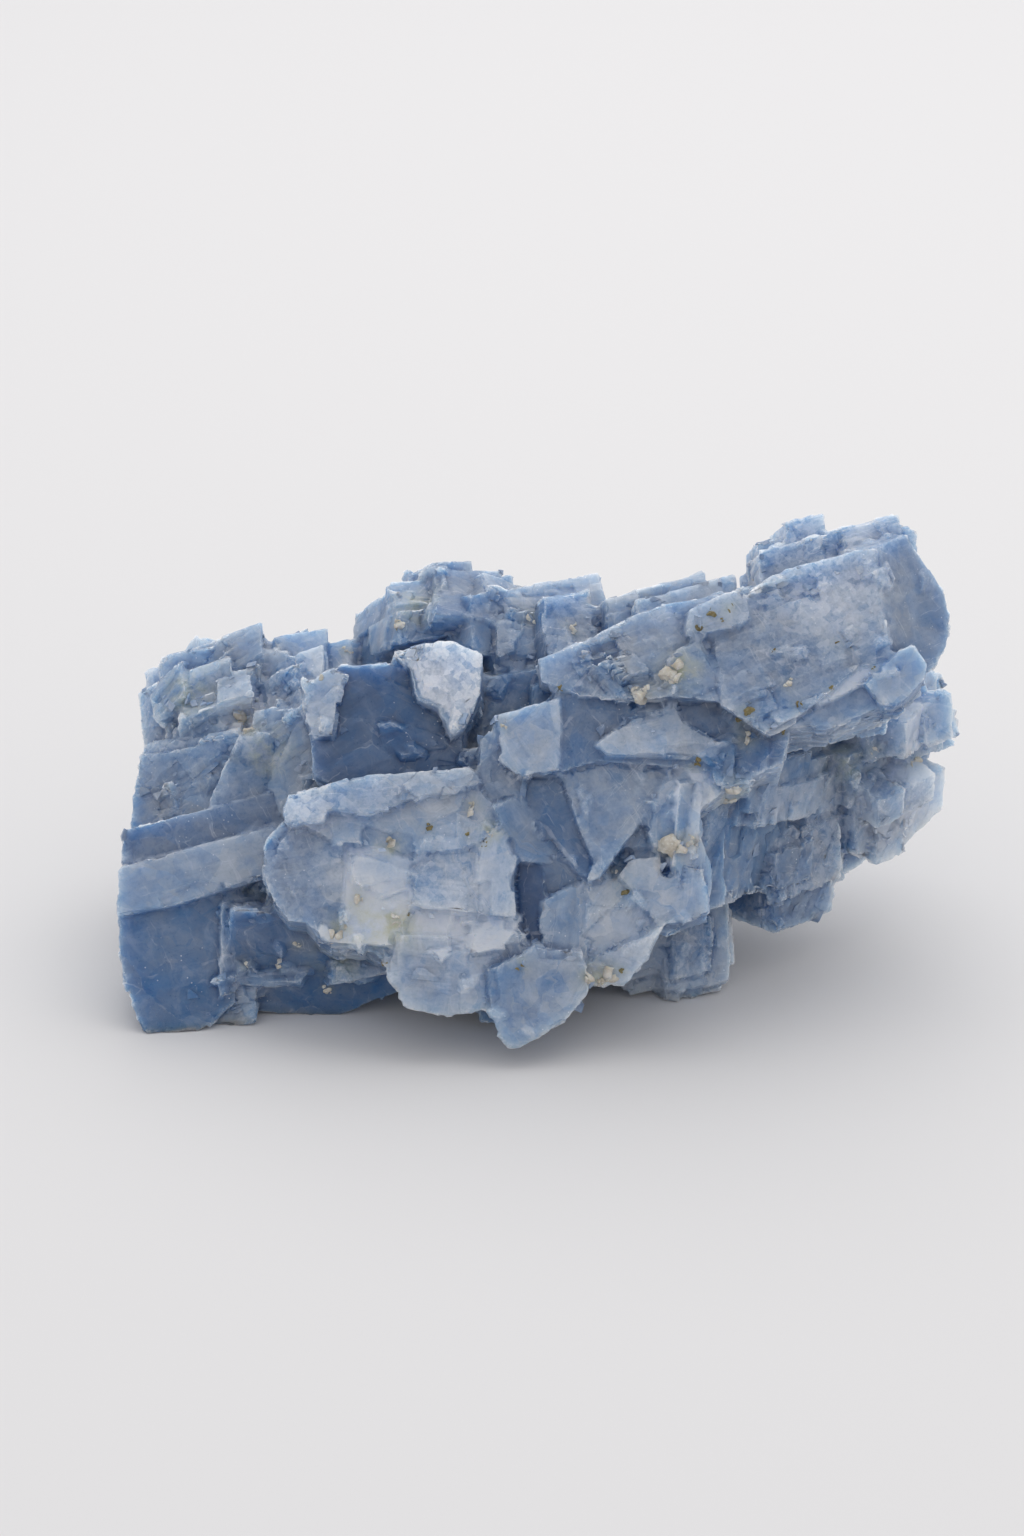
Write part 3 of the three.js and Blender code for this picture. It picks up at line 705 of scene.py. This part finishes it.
relief = rough_patches(points, reliefs[grown_numbers])
height = terraced(points, normals, crystals, TERRACE_HEIGHTS)
height += (cloud(points, 0.9 * MM, 12) - 0.5) * GRIT_HEIGHT
height *= relief
height -= cracks(stone.data) * (CRACK_DEPTH * cloud(points, 2.2 * MM, 14) - CRACK_CLOSED)
ragged = np.clip(sharpness(stone.data, 2) * 4, 0, 1)
height += ragged * (terraces(points, normals, crystals, 0.8 * MM, 1.0, 4) - 0.3) * EDGE_STEPS
height += ragged * (cloud(points, 0.5 * MM, 13) - 0.6) * EDGE_GRIT
moved = points + normals * (height * MM)[:, None]
low, high = (np.array(corner) for corner in cad_box)
move_to(stone.data, np.clip(moved, low + INSIDE_BY, high - INSIDE_BY))

thin_out = stone.modifiers.new("thin out", "DECIMATE")
thin_out.ratio = MOST_TRIANGLES / (2 * len(stone.data.polygons))
thin_out.use_collapse_triangulate = True
bpy.ops.object.modifier_apply(modifier="thin out")


def keep(mesh, name, values):
    """Stores a number for every corner point of the mesh, for the material to read."""
    store = mesh.attributes.new(name, "FLOAT", "POINT")
    store.data.foreach_set("value", np.asarray(values, dtype=np.float32))


def kept(mesh, name):
    """The numbers that a mesh stores under a name."""
    store = mesh.attributes[name].data
    values = np.empty(len(store), dtype=np.float32)
    store.foreach_get("value", values)
    return values


# Regions paler or more frosted than the rest: where (mm right, mm up along the front), how
# wide, how much paler and how much more frosted.
PATCHES = {
    "ridge end": (27, 50.5, 9, 0.22, 0.35),
    "right shoulder": (39, 33, 8, 0.34, 0.12),
    "right flank": (38, 24, 7, 0.34, 0.12),
    "right foot": (29, 15, 5, 0.12, 0.0),
    "hump": (-5, 45, 8, -0.1, 0),
    "cleft": (-2.5, 37.5, 3.2, -0.3, -0.1),
    "left middle": (-33, 28, 6, 0.14, 0.05),
    "under the right": (15, 7.5, 6, 0.2, 0.05),
    "left corner": (-38, 36, 5, 0.32, 0.1),
    "ledge of the left corner": (-28.5, 33, 3, 0.5, 0.2),
    "beam crackle": (28.5, 44, 5, 0.3, 0.35),
    "beam middle": (25, 38, 3.5, -0.1, 0.1),
    "bar end": (-23, 23.5, 2.2, 0.05, 0.45),
    # Painted reflection: this patch's extra paleness and frost stand for the sheen of the light
    # there.
    "painted sheen of the bright step": (-9, 13.6, 3.5, 0.12, 0.25),
    "bright corner": (-20, 17, 3, 0.10, 0.10),
}
OBLIQUE = np.linalg.inv(np.array([[tuple(d) for d in l] for l in lattices]))


def patched(points, tones, frosts_and_sheen):
    """Adds the patches to the tones and the frosts of points."""
    for x, z, width, tone, frost_and_sheen in PATCHES.values():
        spot = seen_at(grown_tree, x, z)[0]
        near = np.exp(-((points - np.array(spot)) ** 2).sum(axis=1) / (width * MM) ** 2)
        tones = tones + near * tone
        frosts_and_sheen = frosts_and_sheen + near * frost_and_sheen
    return tones, frosts_and_sheen


def finish_of(thing, points, tones, frosts_and_sheen, edges, crystals):
    """Stores on a mesh what the blue calcite's material reads."""
    tones, frosts_and_sheen = patched(points, tones, frosts_and_sheen)
    keep(thing.data, "tone", tones)
    keep(thing.data, "frost_and_sheen", np.clip(frosts_and_sheen, 0, 1))
    keep(thing.data, "edge", edges)
    grain = np.einsum("ij,ijk->ik", points, OBLIQUE[crystals]) / MM
    store = thing.data.attributes.new("grain", "FLOAT_VECTOR", "POINT")
    store.data.foreach_set("vector", grain.astype(np.float32).ravel())


# How much paler the raised terraces are, and how far freshly broken faces vary in tone.
TERRACE_TONES = (0.04, 0.035)
TINT_MIDDLE = 0.4
TINT_VARIES = 0.16
SMOOTH_UNDER = math.radians(30)

points = places_of(stone.data)
crystals = crystal_of(points)
numbers, normals, _ = facets_under(points, broken_faces)
grown_numbers, _, _ = facets_under(points, grown_faces)
tint = kept(broken_faces, "tint")[numbers]
point_tones = tones[grown_numbers] + (tint - TINT_MIDDLE) * TINT_VARIES * (tint > 0)
point_tones += terraced(points, normals, crystals, TERRACE_TONES)
finish_of(stone, points, point_tones, frosts_and_sheen[grown_numbers], sharpness(stone.data, 1), crystals)
on_all(stone, bpy.ops.mesh.faces_shade_smooth)
bpy.ops.object.select_all(action="DESELECT")
stone.select_set(True)
bpy.ops.object.shade_smooth_by_angle(angle=SMOOTH_UNDER)
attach(stone, "root")
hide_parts("calcite")


# The stone's finish: milky blue crystal with pale veils and silk inside it, frosted along
# broken edges, in faces of different depth of colour, with painted shade in its grooves. Its
# blues run from clear to milky.
BLUES = (
    (0.0, (0.020, 0.066, 0.175, 1)),
    (0.17, (0.055, 0.118, 0.245, 1)),
    (0.42, (0.125, 0.205, 0.345, 1)),
    (0.71, (0.27, 0.355, 0.49, 1)),
    (1.0, (0.52, 0.58, 0.68, 1)),
)
WISP_WHITE = (0.50, 0.56, 0.66, 1)
FROST_AND_SHEEN_WHITE = (0.64, 0.67, 0.74, 1)
STAIN_OCHRE = (0.44, 0.44, 0.26, 1)
WISPS = 0.26
GROOVE_PAINTED_SHADE = 0.14
BUMP_HEIGHT = 0.10 * MM
LIGHT_REACHES = 7.0 * MM


class Tree:
    """Adds nodes to a material and wires them, one line each."""

    def __init__(self, tree):
        self.tree = tree

    def wire(self, socket, value):
        if isinstance(value, bpy.types.NodeSocket):
            self.tree.links.new(value, socket)
        else:
            socket.default_value = value

    def add(self, kind, inputs=None, **settings):
        made = self.tree.nodes.new("ShaderNode" + kind)
        for name, value in settings.items():
            setattr(made, name, value)
        for name, value in (inputs or {}).items():
            self.wire(made.inputs[name], value)
        return made

    def mix(self, factor, a, b):
        made = self.add("Mix", data_type="RGBA")
        for number, value in ((0, factor), (6, a), (7, b)):
            self.wire(made.inputs[number], value)
        return made.outputs[2]

    def math(self, operation, a, b=0.0, clamp=False):
        made = self.add("Math", {0: a, 1: b}, operation=operation, use_clamp=clamp)
        return made.outputs[0]

    def times(self, a, b, clamp=False):
        return self.math("MULTIPLY", a, b, clamp)

    def plus(self, base, layer, amount, clamp=False):
        """The base with an amount of a layer added."""
        return self.math("ADD", base, self.times(layer, amount), clamp)

    def between(self, value, low, high, to_low=0.0, to_high=1.0):
        ends = {"From Min": low, "From Max": high, "To Min": to_low, "To Max": to_high}
        return self.add("MapRange", {"Value": value, **ends}).outputs[0]

    def noise(self, place, scale, detail=4.0, roughness=0.6, squeeze=(1, 1, 1)):
        place = self.add("Mapping", {"Vector": place, "Scale": squeeze}).outputs[0]
        grit = {"Scale": scale, "Detail": detail, "Roughness": roughness}
        return self.add("TexNoise", {"Vector": place, **grit}).outputs["Fac"]

    def place_in_mm(self):
        place = self.add("TexCoord").outputs["Object"]
        return self.add("Mapping", {"Vector": place, "Scale": (1000, 1000, 1000)}).outputs[0]

    def stored(self, name, kind="Fac"):
        """What the mesh keeps for the material under this name."""
        return self.add("Attribute", attribute_name=name).outputs[kind]


material = bpy.data.materials.new("blue calcite")
material.use_nodes = True
tree = Tree(material.node_tree)
shader = material.node_tree.nodes["Principled BSDF"]
place_mm = tree.place_in_mm()
grain = tree.stored("grain", "Vector")
tone = tree.stored("tone")
frost_and_sheen = tree.stored("frost_and_sheen")
edge = tree.stored("edge")


def centred(noise, reach=0.2):
    """A noise from about -0.5 to 0.5."""
    return tree.between(noise, 0.5 - reach, 0.5 + reach, -0.5, 0.5)


def warped(place, scale, amount):
    """A place pushed about by up to half of amount, so that straight borders wander."""
    push = tree.add("TexNoise", {"Vector": place, "Scale": scale, "Detail": 2.0}).outputs["Color"]
    centre = tree.add("VectorMath", {0: push, 1: (0.5, 0.5, 0.5)}, operation="SUBTRACT").outputs[0]
    scaled = tree.add("VectorMath", {0: centre, "Scale": amount}, operation="SCALE").outputs[0]
    return tree.add("VectorMath", {0: place, 1: scaled}, operation="ADD").outputs[0]


def blocks(place, scale):
    """Crystals seen inside the stone: three numbers for each block, and the distance to its border.
    """
    cells = {"Vector": place, "Scale": scale, "Randomness": 0.9}
    inner = tree.add("TexVoronoi", cells)
    seam = tree.add("TexVoronoi", cells, feature="DISTANCE_TO_EDGE")
    parts = tree.add("SeparateColor", {0: inner.outputs["Color"]}).outputs
    return [tree.math("SUBTRACT", part, 0.5) for part in parts[:3]] + [seam.outputs["Distance"]]


bent = warped(grain, 0.8, 0.7)
large = blocks(bent, 0.26)
little = blocks(bent, 0.80)
flakes = blocks(place_mm, 1.6)
veil = centred(tree.noise(place_mm, 0.13, 4.0, 0.6), 0.16)
mottle = centred(tree.noise(place_mm, 0.6, 6.0, 0.66))
silk = centred(tree.noise(grain, 1.0, 6.0, 0.66, (0.12, 3.2, 3.2)))
silky = tree.between(tree.noise(place_mm, 0.25, 2.0, 0.5), 0.48, 0.62)
fine = centred(tree.noise(place_mm, 3.2, 6.0, 0.72))
curl = {"Scale": 0.30, "Detail": 8.0, "Roughness": 0.68, "Distortion": 0.8}
wisp = tree.between(tree.add("TexNoise", {"Vector": place_mm, **curl}).outputs["Fac"], 0.50, 0.68)


def cleavage_lines(direction, spacing, mask):
    """Fine straight lines where the crystal began to split, seen edge-on, in some places only."""
    along = tree.add("SeparateXYZ", {0: bent}).outputs[direction]
    inputs = {"W": along, "Scale": spacing, "Detail": 2.0}
    steps = tree.add("TexNoise", inputs, noise_dimensions="1D").outputs["Fac"]
    line = tree.between(steps, 0.60, 0.64)
    back_off = tree.between(steps, 0.66, 0.70)
    return tree.times(tree.math("SUBTRACT", line, back_off, clamp=True), mask)


in_front = tree.between(tree.noise(place_mm, 0.33, 3.0, 0.6), 0.53, 0.62)
in_rear = tree.between(tree.noise(place_mm, 0.40, 3.0, 0.6), 0.47, 0.38)
lines = cleavage_lines(0, 1.1, in_front)
lines = tree.math("ADD", lines, cleavage_lines(1, 0.9, in_rear), clamp=True)
layers = (
    (large[0], 0.14),
    (little[0], 0.07),
    (veil, 0.12),
    (mottle, 0.08),
    (tree.times(silk, silky), 0.22),
    (fine, 0.09),
)
change = 0.0
for layer, amount in layers:
    change = tree.plus(change, layer, amount)
lively = tree.between(tone, -0.1, 0.5, 0.35, 1.0)
pale = tree.plus(tone, change, lively)
# Painted shade: the grooves between faces are darkened, as if shaded.
pale = tree.plus(pale, tree.between(edge, -0.06, -0.30), -GROOVE_PAINTED_SHADE)
ramp = tree.add("ValToRGB", {"Fac": tree.between(pale, -0.2, 1.0)})
stops = ramp.color_ramp.elements
for stop, (position, colour) in zip(stops, (BLUES[0], BLUES[-1])):
    stop.position = position
    stop.color = colour
for position, colour in BLUES[1:-1]:
    stops.new(position).color = colour

# Clear spots are a purer blue, and milky ones are greyer.
milk = tree.plus(tree.times(large[1], 0.5), little[1], 0.35)
milk = tree.plus(milk, centred(tree.noise(place_mm, 0.33, 4.0, 0.6)), 0.9)
milk = tree.plus(milk, centred(tree.noise(place_mm, 0.07, 2.0, 0.5)), 0.6)
saturation = tree.between(tree.times(milk, lively), -0.6, 0.6, 1.36, 0.58)
tuned = tree.add("HueSaturation", {"Color": ramp.outputs["Color"], "Saturation": saturation})
color = tree.mix(tree.times(tree.times(wisp, lively), WISPS), tuned.outputs[0], WISP_WHITE)
stain = tree.times(tree.stored("stain"), tree.between(mottle, -0.35, 0.3), clamp=True)
color = tree.mix(stain, color, STAIN_OCHRE)

# Frosted skin: along broken edges, on flaky faces, and on thin lines inside the crystal. On the
# bright lower face and its step, the frost is a painted sheen of the light.
seam = tree.times(tree.between(large[3], 0.022, 0.004), tree.between(mottle, 0.0, 0.4))
crumbs = tree.between(fine, -0.10, 0.14)
edge_line = tree.times(tree.between(edge, 0.08, 0.26), crumbs, clamp=True)
flaky = tree.math("ADD", tree.between(fine, -0.5, 0.3, 0.1, 0.8), flakes[0], clamp=True)
specks = {"Vector": place_mm, "Scale": 1.5, "Randomness": 1.0}
dots = tree.between(tree.add("TexVoronoi", specks).outputs["Distance"], 0.13, 0.08)
dotted = tree.times(dots, tree.between(veil, 0.0, 0.3))
white = tree.plus(tree.times(edge_line, 0.30), frost_and_sheen, flaky)
white = tree.plus(white, dotted, 0.75)
white = tree.plus(white, seam, 0.22)
white = tree.plus(white, lines, 0.22, clamp=True)
color = tree.mix(white, color, FROST_AND_SHEEN_WHITE)
rough = tree.plus(tree.between(fine, -0.5, 0.5, 0.24, 0.44), white, 0.2)
height = tree.plus(tree.times(fine, 0.35), silk, 0.3)
height = tree.plus(height, little[0], 0.4)
height = tree.plus(height, tree.times(flakes[1], frost_and_sheen), 1.5)
bump = tree.add("Bump", {"Strength": 0.25, "Distance": BUMP_HEIGHT, "Height": height})
links = material.node_tree.links
links.new(color, shader.inputs["Base Color"])
links.new(rough, shader.inputs["Roughness"])
links.new(bump.outputs["Normal"], shader.inputs["Normal"])
shader.inputs["Subsurface Weight"].default_value = 1.0
shader.inputs["Subsurface Radius"].default_value = (0.75, 0.88, 1.0)
shader.inputs["Subsurface Scale"].default_value = LIGHT_REACHES
shader.inputs["Specular IOR Level"].default_value = 0.42
shader.inputs["IOR"].default_value = 1.58
stone.data.materials.clear()
stone.data.materials.append(material)

# ------------------------------------------------------------------ small crystals
# Small sharp rhombs of the same calcite that grew last, in the corners between the large
# faces, and thin cleavage flakes and splinters that stayed behind when the stone broke. They
# are sunk a little into the stone, ride on its body and follow the directions of the crystal
# they lie on.
CHIP_COUNT = 420
CHIP_WIDTH = (0.3, 1.0)
CHIP_SINK = 0.28
CHIP_LEANS = (0.3, 0.6)
FLAKE_COUNT = 3200
FLAKE_WIDTH = (0.25, 1.6)
FLAKE_THICKNESS = (0.12, 0.30)
FLAKE_SINK = 0.05
FLAKE_LEANS = (0.12, 0.05)
SPLINTER_LIGHT = 0.15 * MM


def model_chip():
    bpy.ops.mesh.primitive_cube_add(size=1)
    chip = bpy.context.object
    edit(chip)
    split_off((0.3, 0.3, 0.2), (1, 0.8, 0.5))
    split_off((-0.38, 0, 0.3), (-1, 0.3, 0.7))
    close_edit()
    return chip


def inside_box(corners):
    corners = np.array([tuple(corner) for corner in corners])
    return bool(np.all(corners > low) and np.all(corners < high))


def stuck_on(tool, at, turn):
    """A copy of a tool at a spot of the stone, or nothing where it would reach too far out."""
    place_there = Matrix.Translation(at) @ turn.to_4x4()
    if not inside_box([place_there @ v.co for v in tool.data.vertices]):
        return []
    copy = bpy.data.objects.new(tool.name, tool.data.copy())
    copy.data.transform(place_there)
    bpy.context.scene.collection.objects.link(copy)
    return [copy]


def joined(copies, name):
    """One piece out of all the copies, facing outwards and riding on the stone's body."""
    bpy.ops.object.select_all(action="DESELECT")
    for copy in copies:
        copy.select_set(True)
    bpy.context.view_layer.objects.active = copies[0]
    bpy.ops.object.join()
    whole = bpy.context.object
    whole.name = name
    on_all(whole, bpy.ops.mesh.normals_make_consistent, inside=False)
    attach(whole, "root")
    return whole


def strewn(count, weights, leans, sink, shape_of, lies_flat):
    """Copies of the chip over the stone, each with the edge lengths that shape_of draws."""
    leaning, turned = leans
    made = []
    for spot in draw.choices(range(len(skin)), weights=weights.tolist(), k=count):
        normal = Vector(skin_normals[spot])
        lean = Vector([draw.uniform(-leaning, leaning) for _ in range(3)])
        along = Vector(lattices[skin_crystals[spot]][0])
        along += Vector([draw.uniform(-turned, turned) for _ in range(3)])
        size = [length * MM for length in shape_of()]
        directions = lattice((normal + lean).normalized(), along)
        turn = Matrix([d * e for d, e in zip(directions, size)]).transposed()
        at = Vector(skin[spot])
        if not lies_flat or whole_width_rests(broken_tree, at, directions, size, normal):
            made += stuck_on(chip, at - normal * (size[2] * sink), turn)
    return made


def chip_shape():
    width = draw.uniform(*CHIP_WIDTH)
    return [width * draw.uniform(0.6, 1.6), width, width * draw.uniform(0.5, 0.9)]


def flake_shape():
    low_width, high_width = FLAKE_WIDTH
    width = low_width + (high_width - low_width) * draw.random() ** 2.5
    return [width * draw.uniform(0.8, 2.2), width, draw.uniform(*FLAKE_THICKNESS)]


bpy.ops.object.select_all(action="DESELECT")
chip = model_chip()
draw = random.Random(51)
skin = places_of(stone.data)
_, skin_normals, _ = facets_under(skin, broken_faces)
skin_owners, _, _ = facets_under(skin, grown_faces)
broken_tree, _ = finder(broken_faces)
skin_crystals = crystal_of(skin)
sharp = kept(stone.data, "edge")
in_corners = np.clip(-sharp, 0, 1) + 0.3 * np.clip(sharp, 0, 1) + 0.01
on_broken = rough_patches(skin, reliefs[skin_owners]) * (0.1 + np.clip(np.abs(sharp), 0, 0.3))
chips = strewn(CHIP_COUNT, in_corners, CHIP_LEANS, CHIP_SINK, chip_shape, lies_flat=False)
chips += strewn(FLAKE_COUNT, on_broken, FLAKE_LEANS, FLAKE_SINK, flake_shape, lies_flat=True)
corners_each = len(chip.data.vertices)
bpy.data.objects.remove(chip)
small_crystals = joined(chips, "small_crystals")
points = places_of(small_crystals.data)
owners, _, _ = facets_under(points, grown_faces)
which = np.arange(len(points))[:, None] // corners_each
chip_tones = tones[owners] + 0.22 * (shuffled(which, 61) - 0.4)
chip_frosts = 0.3 * shuffled(which, 62)
bare = np.zeros(len(points))
finish_of(small_crystals, points, chip_tones, chip_frosts, bare, crystal_of(points))
keep(small_crystals.data, "stain", bare)

# They are too small for light to travel far in them.
splinters = material.copy()
splinters.name = "blue calcite splinters"
splinter_shader = splinters.node_tree.nodes["Principled BSDF"]
splinter_shader.inputs["Subsurface Scale"].default_value = SPLINTER_LIGHT
small_crystals.data.materials.append(splinters)


# ------------------------------------------------------------------ grains
# Grains of iron-stained and chalky minerals that settled in the hollows while the calcite
# grew: honey-brown ones like coarse sand, and soft cream lumps. They stain what is round them.
GRAIN_SINK = 0.38
GRAIN_DENTS = 0.4

# The larger grains: mm right, mm up along the front, and roughly how wide in mm.
HONEY_GRAINS = (
    (18.7, 43.2, 1.1), (16.9, 42.6, 0.8), (15.6, 41.3, 0.7), (25.4, 33.4, 1.0), (20.3, 32.9, 1.0),
    (19.7, 32.0, 0.8), (28.6, 35.3, 0.7), (23.9, 31.0, 0.6), (30.5, 39.4, 0.5), (15.4, 27.6, 1.0),
    (-1.9, 8.0, 1.1), (2.0, 35.0, 0.7), (-10.8, 21.4, 0.8), (-7.2, 20.9, 0.6), (-13.0, 12.9, 0.5),
    (17.8, 42.0, 0.5), (23.0, 39.0, 0.4), (32.8, 37.2, 0.5), (-5.4, 19.8, 0.6), (8.0, 7.4, 0.6),
)
CREAM_GRAINS = (
    (13.4, 37.2, 2.3), (13.0, 36.2, 1.4), (10.0, 34.6, 1.3), (9.2, 34.9, 0.8), (20.2, 30.2, 1.5),
    (18.9, 25.2, 1.9), (18.6, 24.0, 1.4), (7.0, 7.0, 1.6), (4.5, 6.8, 1.2), (5.8, 6.3, 0.9),
    (12.6, 19.5, 1.6), (13.9, 19.6, 1.7), (15.0, 20.2, 1.2), (-6.8, 23.5, 1.1), (-5.0, 21.0, 1.0),
    (-18.0, 14.5, 1.3), (-20.0, 11.3, 1.7), (-14.5, 12.0, 1.5), (-14.8, 19.8, 1.1),
    (-29.5, 32.5, 1.2), (-28.7, 31.0, 0.9), (-3.5, 31.4, 0.6), (-1.0, 42.0, 1.4), (3.0, 41.0, 1.2),
    (-14.0, 41.5, 1.0), (-19.0, 39.0, 0.9), (24.5, 35.6, 0.8), (37.0, 28.0, 1.2), (33.0, 29.0, 1.0),
    (-26.0, 8.0, 0.9), (-21.0, 5.5, 0.8), (-24.0, 10.0, 0.7),
)

# Besides these, loose grains are drawn at random, and so is the share of them that is honey.
LOOSE_GRAINS = 45
HONEY_SHARE = 0.45
GRAIN_FACETS = (
    ((0.36, 0, 0.1), (1, 0.2, 0.3)),
    ((-0.2, 0.34, 0), (-0.5, 1, 0.2)),
    ((0, -0.1, 0.38), (0.1, -0.4, 1)),
)


def model_grain():
    bpy.ops.mesh.primitive_ico_sphere_add(subdivisions=3, radius=0.6)
    grain = bpy.context.object
    edit(grain)
    for at, facing in GRAIN_FACETS:
        split_off(at, facing)
    bpy.ops.mesh.select_all(action="SELECT")
    bpy.ops.mesh.vertices_smooth(factor=0.3)
    close_edit()
    return grain


def grain_at(grain, spot, normal, width):
    """One lumpy grain, turned and squashed its own way, sunk a little into the stone."""
    turn = Matrix.Rotation(draw.uniform(0, math.tau), 3, normal)
    angle = draw.uniform(0, math.tau)
    axis = Vector([draw.uniform(-1, 1) for _ in range(3)]).normalized()
    tilt = Matrix.Rotation(angle, 3, axis)
    stretch = Matrix.Diagonal([width * MM * draw.uniform(0.6, 1.3) for _ in range(3)])
    lumpy = stuck_on(grain, spot - normal * (width * MM * GRAIN_SINK), turn @ tilt @ stretch)
    for copy in lumpy:
        corners = places_of(copy.data)
        dents = (cloud(corners, width * 0.33 * MM, 71) - 0.5) * width * GRAIN_DENTS * MM
        move_to(copy.data, corners + normals_of(copy.data) * dents[:, None])
    return lumpy


bpy.ops.object.select_all(action="DESELECT")
grain_tool = model_grain()
skin_tree, _ = finder(stone.data)
stains = []
honey = []
cream = []
for grains, seats in ((honey, HONEY_GRAINS), (cream, CREAM_GRAINS)):
    for x, z, width in seats:
        spot, normal, _ = seen_at(skin_tree, x, z)
        grains += grain_at(grain_tool, spot, normal, width)
        stains.append((spot, width))
        for _ in range(2 if grains is cream else 1):
            aside = Vector([draw.uniform(-0.5, 0.5) * width * MM for _ in range(3)])
            seat, facing, _, _ = skin_tree.find_nearest(spot + aside)
            grains += grain_at(grain_tool, seat, facing, width * draw.uniform(0.4, 0.7))
hollows = np.clip(-sharp, 0, 1) + 0.01
for spot in draw.choices(range(len(skin)), weights=hollows.tolist(), k=LOOSE_GRAINS):
    width = draw.uniform(0.4, 1.2)
    grains = honey if draw.random() < HONEY_SHARE else cream
    grains += grain_at(grain_tool, Vector(skin[spot]), Vector(skin_normals[spot]), width)
    if draw.random() < 0.5:
        stains.append((Vector(skin[spot]), width * 1.3))
bpy.data.objects.remove(grain_tool)
honey_grains = joined(honey, "honey_grains")
cream_grains = joined(cream, "cream_grains")

# What the grains stain, and a few patches stained from within: mm right, mm up along the
# front, and how wide in mm.
STAINED = (
    (-17.5, 11.5, 2.4), (-14.0, 11.5, 2.0), (-14.8, 19.8, 1.0), (-35.0, 35.0, 3.2),
    (-5.0, 21.0, 1.2), (-20.0, 8.5, 2.4), (19.0, 24.5, 1.6), (30.0, 28.0, 2.2),
    (-27.0, 29.0, 2.5), (-12.0, 43.0, 2.5), (5.5, 7.0, 1.6), (14.0, 37.0, 1.6),
)
STRONGEST_STAIN = 0.8


def stained(spot, width, strength):
    """A stain round a spot that fades over its width."""
    away = ((skin - np.array(spot)) ** 2).sum(axis=1) / (width * MM) ** 2
    return strength * np.exp(-away)


stain = np.zeros(len(skin))
for x, z, width in STAINED:
    stain += stained(seen_at(skin_tree, x, z)[0], width, 0.55)
for spot, width in stains:
    stain += stained(spot, 0.8 * width, 0.35)
keep(stone.data, "stain", np.clip(stain, 0, STRONGEST_STAIN))


def grain_material(name, colours, roughness, glow):
    """A gritty lump: two colours mixed by noise, a third on its grit, and a little light let in."""
    made = bpy.data.materials.new(name)
    made.use_nodes = True
    tree = Tree(made.node_tree)
    shader = made.node_tree.nodes["Principled BSDF"]
    place_mm = tree.place_in_mm()
    patch = tree.between(tree.noise(place_mm, 0.9, 3.0, 0.6), 0.35, 0.65)
    grit = tree.noise(place_mm, 5.0, 4.0, 0.7)
    color = tree.mix(patch, colours[0], colours[1])
    color = tree.mix(tree.between(grit, 0.55, 0.75), color, colours[2])
    bump = tree.add("Bump", {"Strength": 0.6, "Distance": 0.15 * MM, "Height": grit})
    links = made.node_tree.links
    links.new(color, shader.inputs["Base Color"])
    links.new(bump.outputs["Normal"], shader.inputs["Normal"])
    shader.inputs["Roughness"].default_value = roughness
    shader.inputs["Subsurface Weight"].default_value = glow
    shader.inputs["Subsurface Radius"].default_value = (1.0, 0.7, 0.4)
    shader.inputs["Subsurface Scale"].default_value = 0.6 * MM
    return made


HONEY = ((0.25, 0.21, 0.085, 1), (0.11, 0.085, 0.035, 1), (0.42, 0.40, 0.27, 1))
CREAM = ((0.64, 0.62, 0.58, 1), (0.44, 0.40, 0.33, 1), (0.76, 0.76, 0.75, 1))
honey_grains.data.materials.append(grain_material("honey-brown grain", HONEY, 0.28, 0.5))
cream_grains.data.materials.append(grain_material("cream grain", CREAM, 0.60, 0.35))
for grains in (honey_grains, cream_grains):
    on_all(grains, bpy.ops.mesh.faces_shade_smooth)

# ------------------------------------------------------------------ studio
# A pale level floor that runs back into a pale background, under one large soft light.
FLOOR_COLOR = (0.715, 0.705, 0.705, 1)
FLOOR_ROUGHNESS = 0.7
AIR_COLOR = (0.985, 0.985, 1.0, 1)
AIR_STRENGTH = 0.80
LIGHT_AT = Vector((0.10, 0.32, 0.64))
LIGHT_AIM = Vector((0, 0, 0.02))
LIGHT_SIZE = 0.8
LIGHT_POWER = 2.5
LENS = 100

bpy.context.scene.view_settings.view_transform = "Standard"
bpy.ops.object.select_all(action="DESELECT")
bpy.ops.mesh.primitive_plane_add(size=6.0, location=(0, 1.5, 0))
floor = bpy.context.object
floor.name = "floor"
plain = bpy.data.materials.new("pale floor")
plain.use_nodes = True
plain.node_tree.nodes["Principled BSDF"].inputs["Base Color"].default_value = FLOOR_COLOR
plain.node_tree.nodes["Principled BSDF"].inputs["Roughness"].default_value = FLOOR_ROUGHNESS
floor.data.materials.append(plain)
world = bpy.data.worlds.new("studio")
bpy.context.scene.world = world
world.use_nodes = True
world.node_tree.nodes["Background"].inputs["Color"].default_value = AIR_COLOR
world.node_tree.nodes["Background"].inputs["Strength"].default_value = AIR_STRENGTH

bpy.ops.object.light_add(type="AREA", location=LIGHT_AT)
light = bpy.context.object
light.name = "key"
light.data.shape = "SQUARE"
light.data.size = LIGHT_SIZE
light.data.energy = LIGHT_POWER
light.rotation_euler = (LIGHT_AIM - LIGHT_AT).to_track_quat("-Z", "Y").to_euler()

back = Vector((0, -math.cos(LEAN), math.sin(LEAN)))
camera_data = bpy.data.cameras.new("camera")
camera_data.lens = LENS
camera_data.sensor_width = 36
camera_data.clip_start = 0.01
camera = bpy.data.objects.new("camera", camera_data)
bpy.context.scene.collection.objects.link(camera)
camera.location = EYE
camera.rotation_euler = (-back).to_track_quat("-Z", "Y").to_euler()
bpy.context.scene.camera = camera
